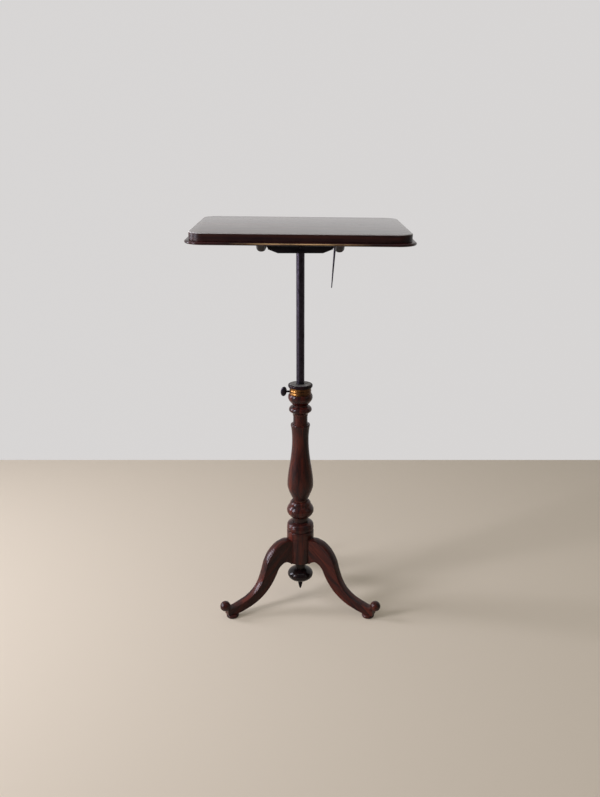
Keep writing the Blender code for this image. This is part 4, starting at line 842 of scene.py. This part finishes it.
rebate = CAP_HEIGHT + PLATE_PROUD - PLATE_THICKNESS - GAP
shape = [(inner, 0), (CAP_UNDER, 0)]
shape += bulge(CAP_UNDER, CAP_RADIUS, CAP_BELLY, CAP_BELLY, CAP_UNDER, CAP_RADIUS, 4)[1:]
shape += bulge(CAP_UNDER, CAP_RADIUS, CAP_BELLY, CAP_HEIGHT - CAP_BELLY, CAP_RADIUS, CAP_UNDER, 4)[1:]
shape += [(PLATE_RADIUS + GAP, CAP_HEIGHT), (PLATE_RADIUS + GAP, rebate), (inner, rebate)]
make_turned("collar_cap", shape, cap_wood, CAP_BASE)
shape = [(PLATE_HOLE, 0), (PLATE_RADIUS, 0), (PLATE_RADIUS, PLATE_THICKNESS), (PLATE_HOLE, PLATE_THICKNESS)]
make_turned("collar_plate", shape, plate_metal, PLATE_BASE)
print("cap's top at", round(COLUMN_TOP, 4))

# %% Thumbscrew
CLAMP_RISE = 0.0057
CLAMP_HEIGHT = BAND_BASE + CLAMP_RISE
STEM_RADIUS = 0.0028
STEM_OUT = 0.0073
INSERT_RADIUS = 0.0045
SHOE_THICKNESS = 0.0032
THUMB_SIZE = (0.0168, 0.0080, 0.0274)
THUMB_LEAN = 8
THUMB_EDGE_SHARE = 0.8
BALL_STEPS = 8


def facing(side):
    """Turn of a piece that lies along X, so that it points to the left or the right."""
    return (0, 0, 0 if side > 0 else math.pi)


def ball(radius):
    """A sphere turned about Z."""
    arc = bead(0, radius, -radius, 2 * radius, BALL_STEPS)
    return turn([(0, arc[0][1])] + arc[1:-1] + [(0, arc[-1][1])], SMALL_STEPS)


clamp_axis = make_axis("clamp_axis", stand_axis, (0, 0, CLAMP_HEIGHT), facing(-1))
for bored in (collar, band):
    cut(bored, bar(INSERT_RADIUS + GAP, BORE_RADIUS / 2, 2 * BAND_RADIUS, SMALL_STEPS, True), clamp_axis)
length, thickness, height = THUMB_SIZE
stem_end = BAND_RADIUS + STEM_OUT
stem = bar(STEM_RADIUS, ROD_RADIUS + SHOE_THICKNESS + 2 * GAP, stem_end + length / 3, SMALL_STEPS, True)
oval = rotate(ball(1 / 2), 90, "X")
for vert in oval.verts:
    flat = math.copysign(abs(2 * vert.co.y) ** THUMB_EDGE_SHARE, vert.co.y) / 2
    vert.co = Vector((vert.co.x * length, flat * thickness, vert.co.z * height))
rotate(oval, -THUMB_LEAN, "Y")
bmesh.ops.translate(oval, verts=oval.verts, vec=(stem_end + length / 2, 0, 0))
make_object("thumbscrew", join_meshes([stem, oval]), iron, clamp_axis)
print("thumbscrew at height", round(CLAMP_HEIGHT, 4))

# %% [markdown]
# ## Cabriole legs
#
# A cabriole leg is sawn from a plank and then shaped with a spokeshave: an S-curve seen from the side, a
# crowned top band between two arrises, and flat sides. It is a loft: at each step from the drum to the
# toe there is a point on the crest and one on the underside, and the section is stretched between the
# two. A curve along a path would keep the section square to the path and lose the flat sides.

# %% Leg outline and section
FOOT_CIRCLE = 0.2228
TOE_BEYOND_FOOT = 0.0182
PAD_HEIGHT = 0.0117
LEG_WIDTH = 0.0310
LEG_TOE_WIDTH = 0.0220
LEG_ROOT_DEPTH = 0.004
LEG_CURVE_STEPS = 8
LEG_SECTION_STEPS = 5
LEG_SHARP_ANGLE = 50
LEG_CREST_SHARES = ((0.0, 1.0), (0.065, 1.006), (0.187, 0.967), (0.302, 0.865), (0.381, 0.722),
                    (0.427, 0.563), (0.484, 0.404), (0.565, 0.282), (0.684, 0.192), (0.816, 0.141),
                    (0.906, 0.115), (1.0, 0.112))
LEG_UNDER_SHARES = ((0.0, 0.60), (0.034, 0.631), (0.088, 0.652), (0.145, 0.628), (0.202, 0.568),
                    (0.253, 0.453), (0.325, 0.325), (0.424, 0.206), (0.565, 0.1), (0.729, 0.032),
                    (0.856, 0.0), (1.0, 0.0))
# Half of the leg's section, as (way across, way up), from the crest to the underside
LEG_SECTION = ((0.0, 1.0), (0.55, 0.985), (0.90, 0.95), (1.0, 0.86), (1.0, 0.06), (0.90, 0.0), (0.0, 0.0))
LEG_TOP = DRUM_TOP - LINE_BELOW_TOP - LINE_WIDTH / 2
TOE_REACH = FOOT_CIRCLE + TOE_BEYOND_FOOT
SOLE = PAD_HEIGHT + GAP


def smooth_through(points, steps):
    """Points of a smooth curve through the given ones, with some steps between neighbours."""
    result = []
    for i in range(len(points) - 1):
        four = points[max(i - 1, 0)], points[i], points[i + 1], points[min(i + 2, len(points) - 1)]
        for k in range(steps):
            t = k / steps
            result.append(tuple((2 * b + (c - a) * t + (2 * a - 5 * b + 4 * c - d) * t * t
                                 + (3 * b - a - 3 * c + d) * t ** 3) / 2 for a, b, c, d in zip(*four)))
    return result + [points[-1]]


def leg_edge(shares):
    """A leg's crest or underside, as (distance from the column's axis, height), from inside the drum."""
    points = smooth_through([(DRUM_RADIUS + (TOE_REACH - DRUM_RADIUS) * out, SOLE + (LEG_TOP - SOLE) * up)
                             for out, up in shares], LEG_CURVE_STEPS)
    points = [(out, max(up, SOLE)) for out, up in points]
    return [(DRUM_RADIUS - LEG_ROOT_DEPTH, points[0][1])] + points


section = smooth_through(LEG_SECTION, LEG_SECTION_STEPS)
crest = leg_edge(LEG_CREST_SHARES)
rings = []
for i, (top, low) in enumerate(zip(crest, leg_edge(LEG_UNDER_SHARES))):
    half = (LEG_WIDTH + (LEG_TOE_WIDTH - LEG_WIDTH) * i / (len(crest) - 1)) / 2
    right = [(low[0] + (top[0] - low[0]) * up, across * half, low[1] + (top[1] - low[1]) * up)
             for across, up in section]
    rings.append(right + [(x, -y, z) for x, y, z in reversed(right[1:-1])])
leg_shape = smooth_mesh("leg", stacked_rings(rings), LEG_SHARP_ANGLE)
print("leg mesh:", len(leg_shape.polygons), "faces, used three times")

# %% Legs, toe balls and pads
PAD_RADIUS, PAD_SOLE, PAD_SEAT = 0.0178, 0.0130, 0.0120
PAD_BELLY = PAD_HEIGHT / 2
PAD_SPIGOT_RADIUS, PAD_SPIGOT_LENGTH = 0.0045, 0.0090
TOE_BALL_RADIUS = 0.0146
TOE_BALL_PLACE = (FOOT_CIRCLE + 0.0220, 0, 0.0398)
LEG_NAMES = ("back", "front_left", "front_right")

top = PAD_HEIGHT + PAD_SPIGOT_LENGTH
shape = [(0, 0)] + bulge(PAD_SOLE, PAD_RADIUS, PAD_BELLY, PAD_BELLY, PAD_SOLE, PAD_RADIUS, 4)
shape += bulge(PAD_SEAT, PAD_RADIUS, PAD_BELLY, PAD_HEIGHT - PAD_BELLY, PAD_RADIUS, PAD_SEAT, 4)[1:]
shape += [(PAD_SPIGOT_RADIUS, PAD_HEIGHT), (PAD_SPIGOT_RADIUS, top), (0, top)]
pad_shape = smooth_mesh("foot_pad", turn(shape, SMALL_STEPS))
ball_shape = smooth_mesh("toe_ball", ball(TOE_BALL_RADIUS))
for i, where in enumerate(LEG_NAMES):
    turned = math.pi / 2 + math.tau * i / len(LEG_NAMES)
    spoke = make_axis("spoke_" + where, stand_axis, ORIGIN, (0, 0, turned))
    set_piece("leg_" + where, leg_shape, leg_wood, spoke)
    set_piece("toe_ball_" + where, ball_shape, turned_wood, spoke, TOE_BALL_PLACE)
    set_piece("foot_pad_" + where, pad_shape, turned_wood, spoke, (FOOT_CIRCLE, 0, 0))
print("pieces of the legs:", 3 * len(LEG_NAMES))

# %% [markdown]
# ## The rod and the block on its head
#
# The rod is plain round iron. The block on its head is stained hardwood, round on top about the pivots so
# that the top can tilt over it, and chamfered at its lower ends. Its near-black colour is partly painted
# shade, since it stands in shade under the top.

# %% Rod
ROD_EXPOSED, ROD_IN_COLUMN, ROD_IN_BLOCK = 0.3568, 0.1347, 0.0332
ROD_SPIGOT_RADIUS = 0.0070
BUSH_HEIGHT, BUSH_FLOOR = 0.0140, 0.0030
PIVOT_OVER_BLOCK_FOOT = 0.0212
TOP_TILT = math.radians(2.0)
TOP_LEAN = math.radians(0.6)
BLOCK_FOOT = COLUMN_TOP + ROD_EXPOSED
PIVOT_HEIGHT = BLOCK_FOOT + PIVOT_OVER_BLOCK_FOOT

tilt_axis = make_axis("tilt_axis", stand_axis, (0, 0, PIVOT_HEIGHT), (TOP_TILT, TOP_LEAN, 0))
foot = COLUMN_TOP - ROD_IN_COLUMN
end = foot + BUSH_FLOOR + GAP
shoulder = foot + BUSH_HEIGHT + GAP
top = BLOCK_FOOT + ROD_IN_BLOCK
shape = [(0, end), (ROD_SPIGOT_RADIUS, end), (ROD_SPIGOT_RADIUS, shoulder), (ROD_RADIUS, shoulder),
         (ROD_RADIUS, top), (0, top)]
make_turned("rod", shape, iron, 0)
print("rod", round((top - end) * 1000), "mm long")

# %% Block
BLOCK_LENGTH = 0.169
BLOCK_THICKNESS = 0.044
BLOCK_EASE = 0.0008
CHAMFER_LENGTH, CHAMFER_RISE = 0.026, 0.010
CROWN_STEPS = 10
CROSS_PIN_RADIUS, CROSS_PIN_RISE = 0.0025, 0.0125

half = BLOCK_THICKNESS / 2
end = BLOCK_LENGTH / 2
inner = end - CHAMFER_LENGTH
crown = [(half * math.cos(a), half * math.sin(a)) for a in spaced(CROWN_STEPS * FINE, math.pi)]
rings = []
for x, lift in ((-end, CHAMFER_RISE), (-inner, 0), (inner, 0), (end, CHAMFER_RISE)):
    foot = lift - PIVOT_OVER_BLOCK_FOOT
    rings.append([(x, y, z) for y, z in crown + [(-half, foot), (half, foot)]])
block = make_object("pivot_block", stacked_rings(rings), block_wood_with_painted_shade, stand_axis, (0, 0, PIVOT_HEIGHT))
cut(block, bar(CROSS_PIN_RADIUS + GAP, -BLOCK_THICKNESS, BLOCK_THICKNESS, SCREW_STEPS), stand_axis,
    (0, 0, BLOCK_FOOT + CROSS_PIN_RISE), (math.pi / 2, 0, 0))
ease(block, BLOCK_EASE)
print("block:", len(block.data.polygons), "faces")

# %% [markdown]
# ## The top and its lip
#
# The top is one flat board with round corners, its upper edge eased. Under its margin runs a moulding
# whose rounded nose stands out all round as a lip, mitred at the corners. Both follow the same plan, a
# rectangle with round corners, grown outwards by the distance that each point of the section needs.

# %% Top board
TOP_WIDTH = 0.536
TOP_DEPTH = 0.385
TOP_FORWARD = 0.010
TOP_CORNER_RADIUS = 0.038
CORNER_STEPS = 24
BOARD_THICKNESS = 0.0188
BOARD_ARRIS = 0.0022
PIVOT_TO_MOULDING = 0.024
MOULDING_HEIGHT = 0.0082
MOULDING_TOP = PIVOT_TO_MOULDING + MOULDING_HEIGHT
BOARD_FOOT = MOULDING_TOP + GAP


def top_outline(out):
    """Plan of the reading top, a rectangle with round corners, grown outwards by a distance."""
    radius = TOP_CORNER_RADIUS + out
    points = []
    for quarter, (sx, sy) in enumerate(((1, 1), (-1, 1), (-1, -1), (1, -1))):
        x = sx * (TOP_WIDTH / 2 - TOP_CORNER_RADIUS)
        y = sy * (TOP_DEPTH / 2 - TOP_CORNER_RADIUS) - TOP_FORWARD
        points += [(x + radius * math.cos(a), y + radius * math.sin(a))
                   for a in spaced(CORNER_STEPS, math.pi / 2 * (quarter + 1), math.pi / 2 * quarter)]
    return points


rings = [[(x, y, BOARD_FOOT) for x, y in top_outline(0)]]
for a in spaced(8):
    z = BOARD_FOOT + BOARD_THICKNESS - BOARD_ARRIS * (1 - math.sin(a))
    rings.append([(x, y, z) for x, y in top_outline(BOARD_ARRIS * (math.cos(a) - 1))])
make_object("top_board", stacked_rings(rings), top_wood, tilt_axis)
print("board", TOP_WIDTH, "x", TOP_DEPTH, "m")

# %% Lip in four mitred lengths
MOULDING_REACH = 0.0106
MOULDING_WIDTH = 0.030
MOULDING_COVE = 0.0014
NOSE_STEPS = 18
NOSE_MARK_HALF_LENGTH = 0.17

# The golden brown on the front lip's nose is partly rubbed wear and partly a painted highlight
paint_nose_highlight_and_wear(front_lip_wood.node_tree, PIVOT_TO_MOULDING, MOULDING_TOP, NOSE_MARK_HALF_LENGTH)
nose = (MOULDING_HEIGHT - MOULDING_COVE) / 2
section = [(-MOULDING_WIDTH, PIVOT_TO_MOULDING), (-MOULDING_WIDTH, MOULDING_TOP), (0, MOULDING_TOP)]
section += [(MOULDING_REACH + nose * (math.cos(a) - 1), PIVOT_TO_MOULDING + nose * (math.sin(a) + 1))
            for a in spaced(NOSE_STEPS, -math.pi / 2, math.pi / 2)]
outlines = [top_outline(out) for out, height in section]
total = len(outlines[0])
for quarter, (side, mat) in enumerate((("back", front_lip_wood), ("left", side_lip_wood),
                                       ("front", front_lip_wood), ("right", side_lip_wood))):
    first = quarter * (CORNER_STEPS + 1) + CORNER_STEPS // 2
    rings = [[Vector((*outline[i % total], height)) for outline, (out, height) in zip(outlines, section)]
             for i in range(first, first + CORNER_STEPS + 2)]
    for end, near in ((rings[0], rings[1]), (rings[-1], rings[-2])):
        along = (near[-1] - end[-1]).normalized()
        for point in end:
            point += along * GAP / 2
    make_object("moulding_" + side, stacked_rings(rings), mat, tilt_axis)
print("lip stands out", MOULDING_REACH * 1000, "mm")

# %% [markdown]
# ## Bearers, pivots and screws
#
# Two thin battens under the board carry the pivots in a deep lug in their middle. Four screws
# hold each. Their heads are slotted, as wood screws of this age are. The pivot pins have domed heads.

# %% Bearers
BEARER_TO_MOULDING = 0.0025
BEARER_LENGTH = TOP_DEPTH - 2 * (TOP_FORWARD + MOULDING_WIDTH + BEARER_TO_MOULDING)
BEARER_WIDTH = 0.0255
BEARER_DEPTH = 0.0482
BEARER_TIP_DEPTH = 0.0090
BEARER_ROUND = 0.0115
BEARER_ROUND_STEPS = 4
BEARER_EASE = 0.0006
LUG_HALF_LENGTH = 0.030
SHOULDER_LENGTH = 0.045
SCREW_SHARES = (-0.85, -0.55, 0.55, 0.85)
SCREW_HEAD, SCREW_HEAD_DEPTH = 0.0042, 0.0030
PIN_HEAD, PIN_HEAD_DEPTH = 0.0065, 0.0030
WASHER_THICKNESS = 0.0029
BEARER_TOP = BOARD_FOOT - GAP
BEARER_INNER = BLOCK_LENGTH / 2 + WASHER_THICKNESS + 2 * GAP
BEARER_OUTER = BEARER_INNER + BEARER_WIDTH
BEARER_MID = (BEARER_INNER + BEARER_OUTER) / 2
SIDES = (("left", -1), ("right", 1))


def bearer_foot(y):
    """Height of a bearer's underside over the tilt axis, at a place along it."""
    rise = (abs(y) - LUG_HALF_LENGTH) / SHOULDER_LENGTH
    return BEARER_TOP - BEARER_DEPTH + (BEARER_DEPTH - BEARER_TIP_DEPTH) * max(0.0, min(1.0, rise))


def screw_places(side):
    """Where one bearer's screws stand in plan, and how high each head's seat is."""
    rows = [share * BEARER_LENGTH / 2 for share in SCREW_SHARES]
    return [(side * BEARER_MID, y, bearer_foot(y) + SCREW_HEAD_DEPTH) for y in rows]


half = BEARER_WIDTH / 2
ends = (LUG_HALF_LENGTH, LUG_HALF_LENGTH + SHOULDER_LENGTH, BEARER_LENGTH / 2)
for name, side in SIDES:
    rings = []
    for y in [-end for end in reversed(ends)] + list(ends):
        edge = BEARER_ROUND * (BEARER_TOP - bearer_foot(y)) / BEARER_DEPTH
        right = [(half - edge * (1 - math.cos(a)), y, bearer_foot(y) + edge * (1 - math.sin(a)))
                 for a in spaced(BEARER_ROUND_STEPS * FINE)]
        left = [(-x, y, z) for x, y, z in reversed(right)]
        rings.append([(-half, y, BEARER_TOP), (half, y, BEARER_TOP)] + right + left)
    bearer = make_object("bearer_" + name, stacked_rings(rings), bearer_wood_with_painted_shade, tilt_axis,
                         (side * BEARER_MID, 0, 0))
    for x, y, seat in screw_places(side):
        recess = bar(SCREW_HEAD + GAP, seat - 3 * SCREW_HEAD_DEPTH, seat + SCREW_HEAD_DEPTH / 2, SCREW_STEPS)
        cut(bearer, recess, tilt_axis, (x, y, 0))
    pocket = bar(PIN_HEAD + GAP, BEARER_OUTER - PIN_HEAD_DEPTH - 2 * GAP, BEARER_OUTER + PIN_HEAD_DEPTH,
                 SMALL_STEPS, True)
    cut(bearer, pocket, tilt_axis, ORIGIN, facing(side))
    ease(bearer, BEARER_EASE)
    print(name, "bearer:", len(bearer.data.polygons), "faces")

# %% Screws with slotted heads
SCREW_SHANK = 0.0020
SCREW_IN_BOARD = 0.010
CORNERS = ((-1, -1), (1, -1), (1, 1), (-1, 1))
TURN_A_SCREW, TURN_A_SIDE = 37, 20

tip = BOARD_FOOT + SCREW_IN_BOARD
for name, side in SIDES:
    for number, (x, y, seat) in enumerate(screw_places(side), 1):
        face = seat - SCREW_HEAD_DEPTH / 2
        shape = [(0, face), (SCREW_HEAD - GAP, face), (SCREW_HEAD, face + GAP), (SCREW_HEAD, seat),
                 (SCREW_SHANK, seat + SCREW_HEAD_DEPTH), (SCREW_SHANK, tip - SCREW_SHANK), (0, tip)]
        screw = make_object("bearer_screw_%s_%d" % (name, number), turn(shape, SCREW_STEPS), iron, tilt_axis,
                            (x, y, 0))
        slot = stacked_rings([[(sx * 2 * SCREW_HEAD, sy * SCREW_HEAD / 8, z) for sx, sy in CORNERS]
                              for z in (face - SCREW_HEAD, face + SCREW_HEAD_DEPTH / 4)])
        cut(screw, slot, tilt_axis, (x, y, 0),
            (0, 0, math.radians(TURN_A_SCREW * number + TURN_A_SIDE * side)))
print("screws:", len(SIDES) * len(SCREW_SHARES))

# %% Pivot pins and washers
PIN_RADIUS = 0.0040
PIN_IN_BLOCK = 0.025
PIN_DOME = 3 * GAP
WASHER_RADIUS = 0.0100

inner = BLOCK_LENGTH / 2 - PIN_IN_BLOCK
face = BEARER_OUTER - GAP
shoulder = face - PIN_HEAD_DEPTH
pin = [(0, inner), (PIN_RADIUS, inner), (PIN_RADIUS, shoulder), (PIN_HEAD, shoulder)]
pin += [(PIN_HEAD * math.cos(a), face - PIN_DOME * (1 - math.sin(a))) for a in spaced(8)[:-1]] + [(0, face)]
hole = PIN_RADIUS + GAP
far = BEARER_INNER - GAP
near = far - WASHER_THICKNESS
washer = [(hole, near), (WASHER_RADIUS, near), (WASHER_RADIUS, far), (hole, far)]
for name, side in SIDES:
    for kind, shape in (("pivot_pin_", pin), ("pivot_washer_", washer)):
        turned = turn(shape, SMALL_STEPS, True)
        make_object(kind + name, turned, iron, tilt_axis, ORIGIN, facing(side))
print("pivots at height", round(PIVOT_HEIGHT, 4))

# %% [markdown]
# ## The stay
#
# A thin tapered iron stay hangs by its eye from a staple under the right bearer. The eye is a ring, the
# shank a long cone, and the staple a bent wire, all small, so plain turned shapes and a tube are enough.

# %% Staple
STAY_BACK, STAY_INSET = 0.090, 0.0086
STAPLE_DROP = 0.0060
STAPLE_SPAN = 0.0080
STAPLE_BEND = STAPLE_SPAN * 0.28
STAPLE_IN_BEARER = 0.0068
WIRE_RADIUS = 0.0015

half = STAPLE_SPAN / 2
left = [(-half, STAPLE_DROP + STAPLE_IN_BEARER)]
left += [(-half + STAPLE_BEND * (1 - math.cos(a)), STAPLE_BEND * (1 - math.sin(a))) for a in spaced(3)]
path = smooth_through(left + [(-x, z) for x, z in reversed(left)], 4)
path = [Vector((x, 0, z)) for x, z in path]
rings = []
for i, point in enumerate(path):
    along = path[min(i + 1, len(path) - 1)] - path[max(i - 1, 0)]
    across = along.normalized().cross(Vector((0, 1, 0)))
    rings.append([point + across * WIRE_RADIUS * math.cos(a) + Vector((0, WIRE_RADIUS * math.sin(a), 0))
                  for a in spaced(SCREW_STEPS, math.tau)[:-1]])
staple_place = (BEARER_INNER + STAY_INSET, STAY_BACK, bearer_foot(STAY_BACK) - STAPLE_DROP)
make_object("stay_staple", stacked_rings(rings), iron, tilt_axis, staple_place)
print("staple bent from", round(2 * WIRE_RADIUS * 1000, 1), "mm wire")

# %% Stay
STAY_LENGTH = 0.148
STAY_ROOT, STAY_TIP = 0.0035, 0.0014
STAY_LEAN = 3.5
EYE_RADIUS, EYE_HOLE, EYE_THICKNESS = 0.0050, 0.0020, 0.0030

mid = (EYE_HOLE + EYE_RADIUS) / 2
wide = (EYE_RADIUS - EYE_HOLE) / 2
half = EYE_THICKNESS / 2
ring = [(mid + wide * math.cos(a), half * math.sin(a)) for a in spaced(24, math.tau)[:-1]]
shank = [(STAY_TIP * math.sin(a), -STAY_LENGTH + STAY_TIP * (1 - math.cos(a))) for a in spaced(6)]
shank += [(STAY_ROOT, -EYE_RADIUS - 2 * STAY_ROOT), (STAY_ROOT, -EYE_RADIUS - STAY_ROOT), (half, -mid),
          (0, -mid)]
shank = rotate(turn(shank, SCREW_STEPS), STAY_LEAN, "Y")
stay_axis = make_axis("stay_axis", tilt_axis, staple_place, (-TOP_TILT, 0, 0))
make_object("prop_stay", join_meshes([turn(ring, SMALL_STEPS, True), shank]), iron, stay_axis)
print("stay", STAY_LENGTH * 1000, "mm long")

# %% [markdown]
# ## The solids that show as they are
#
# The cross pin, the insert and the shoe of the thumbscrew and the bush at the rod's foot have the right
# shape already and are mostly hidden, so they keep their solids and take a finish.

# %% Finishes for the kept solids
KEPT = {"rod_cross_pin": iron, "rod_foot_bush": brass, "screw_bush": brass, "clamp_shoe": brass}

for node, mat in KEPT.items():
    kept = frame["nodes"][node]
    kept.data.materials.clear()
    kept.data.materials.append(mat)
for axis in layout_axes:
    bpy.data.objects.remove(axis, do_unlink=True)
print("kept solids:", [name for name, node in frame["nodes"].items() if not node.hide_render])

# %% [markdown]
# ## Floor, backdrop and light
#
# The stand is lit by two tall soft windows on the left, a weak one on the right and the room round it. The
# two windows show as the pairs of pale marks on the ball and the beads. The floor and the wall are plain
# and pale, clear from behind, and throw less light on the stand than they show. The polished top shows the
# wall in it, because it is seen at a low angle, so the wall has to stand where the real one does, about a
# metre behind the column. The room all round looks pale too, but it lights the stand and shows in its
# polish far more weakly than that, which keeps the polish nearly black between its highlights.

# %% Floor and backdrop
WALL_BEHIND, WALL_HEIGHT = 1.084, 4.0
ROOM_HALF = 6.0
FLOOR_TONE, FLOOR_BOUNCE = (0.80, 0.70, 0.55), (0.20, 0.165, 0.125)
WALL_TONE, WALL_BOUNCE = (0.68, 0.665, 0.66), (0.24, 0.235, 0.23)
PLAIN_ROUGH, PLAIN_SHEEN = 0.9, 0.1


def make_stage(name, points, mat):
    """A sheet that runs from left to right along a line of (y, z) points."""
    bm = bmesh.new()
    rows = [[bm.verts.new((x, y, z)) for x in (-ROOM_HALF, ROOM_HALF)] for y, z in points]
    for near, far in zip(rows, rows[1:]):
        bm.faces.new((near[0], near[1], far[1], far[0]))
    mesh = bpy.data.meshes.new(name)
    bm.to_mesh(mesh)
    bm.free()
    mesh.materials.append(mat)
    sheet = put(bpy.data.objects.new(name, mesh))


def make_plain(name, tone, bounce_tone, lit_share, glow):
    """A plain dull sheet, partly lit and partly glowing to eyes and mirrors, and clear from behind.

    Other rays meet the bounce tone, which is darker, so the sheet throws less light on the stand.
    """
    mat = bpy.data.materials.new(name)
    mat.use_nodes = True
    tree = mat.node_tree
    path = add(tree, "LightPath")
    seen = calc(tree, "MAXIMUM", path.outputs["Is Camera Ray"], path.outputs["Is Glossy Ray"])
    seen = calc(tree, "MAXIMUM", seen, path.outputs["Is Transmission Ray"])
    lit_tone = [channel * lit_share for channel in tone]
    shader = fill(tree, tree.nodes["Principled BSDF"], {
        "Roughness": PLAIN_ROUGH, "Specular IOR Level": PLAIN_SHEEN, "Emission Color": tone,
        "Base Color": blend(tree, seen, bounce_tone, lit_tone), "Emission Strength": times(tree, seen, glow)})
    behind = add(tree, "NewGeometry").outputs["Backfacing"]
    clear = add(tree, "BsdfTransparent").outputs[0]
    surface = add(tree, "MixShader", {0: behind, 1: shader.outputs[0], 2: clear}).outputs[0]
    fill(tree, tree.nodes["Material Output"], {"Surface": surface})
    return mat


floor_mat = make_plain("floor_plain", FLOOR_TONE, FLOOR_BOUNCE, lit_share=0.80, glow=0.20)
wall_mat = make_plain("wall_plain", WALL_TONE, WALL_BOUNCE, lit_share=0.0, glow=1.0)
make_stage("floor", [(-ROOM_HALF, 0.0), (WALL_BEHIND, 0.0)], floor_mat)
make_stage("backdrop", [(WALL_BEHIND, 0.0), (WALL_BEHIND, WALL_HEIGHT)], wall_mat)
print("wall", WALL_BEHIND, "m behind the stand's middle")

# %% Lamps and room light
WINDOW_SPREAD = math.radians(120)
# Name, place, the point that it faces, width, height, watts, tone and spread
LAMPS = (
    ("window_left_back", (-2.9, 0.40, 1.45), (0, 0, 0.65), 0.66, 2.0, 29, (0.85, 0.86, 1.0), WINDOW_SPREAD),
    ("window_left_front", (-2.6, -1.33, 1.45), (0, 0, 0.65), 0.76, 2.0, 36, (0.87, 0.87, 1.0), WINDOW_SPREAD),
    ("room_right", (2.3, -1.2, 1.4), (0, 0, 0.6), 1.6, 1.6, 3, (1.0, 0.96, 0.92), math.pi),
    ("ceiling", (0.0, -0.2, 2.9), (0, 0.2, 0), 2.8, 2.4, 11, (1.0, 0.97, 0.93), math.pi))
ROOM_TONE = (1.0, 0.98, 0.97)
ROOM_LIGHT = 0.08
ROOM_IN_MIRRORS = 0.08
ROOM_TO_CAMERA = 0.60

for name, place, aim, width, height, watts, tone, spread_angle in LAMPS:
    lamp = bpy.data.lights.new(name, "AREA")
    lamp.shape = "RECTANGLE"
    lamp.size, lamp.size_y = width, height
    lamp.energy, lamp.color, lamp.spread = watts, tone, spread_angle
    turned = (Vector(aim) - Vector(place)).to_track_quat("-Z", "Y").to_euler()
    put(bpy.data.objects.new(name, lamp), None, place, turned)

world = bpy.data.worlds.new("room")
bpy.context.scene.world = world
world.use_nodes = True
tree = world.node_tree
path = add(tree, "LightPath")
mirrored = calc(tree, "MAXIMUM", path.outputs["Is Glossy Ray"], path.outputs["Is Transmission Ray"])
unseen = plus(tree, times(tree, mirrored, ROOM_IN_MIRRORS), ROOM_LIGHT)
strength = plus(tree, times(tree, path.outputs["Is Camera Ray"], ROOM_TO_CAMERA), unseen)
fill(tree, tree.nodes["Background"], {"Color": ROOM_TONE, "Strength": strength})
print("lamps:", [lamp.name for lamp in bpy.data.lights])
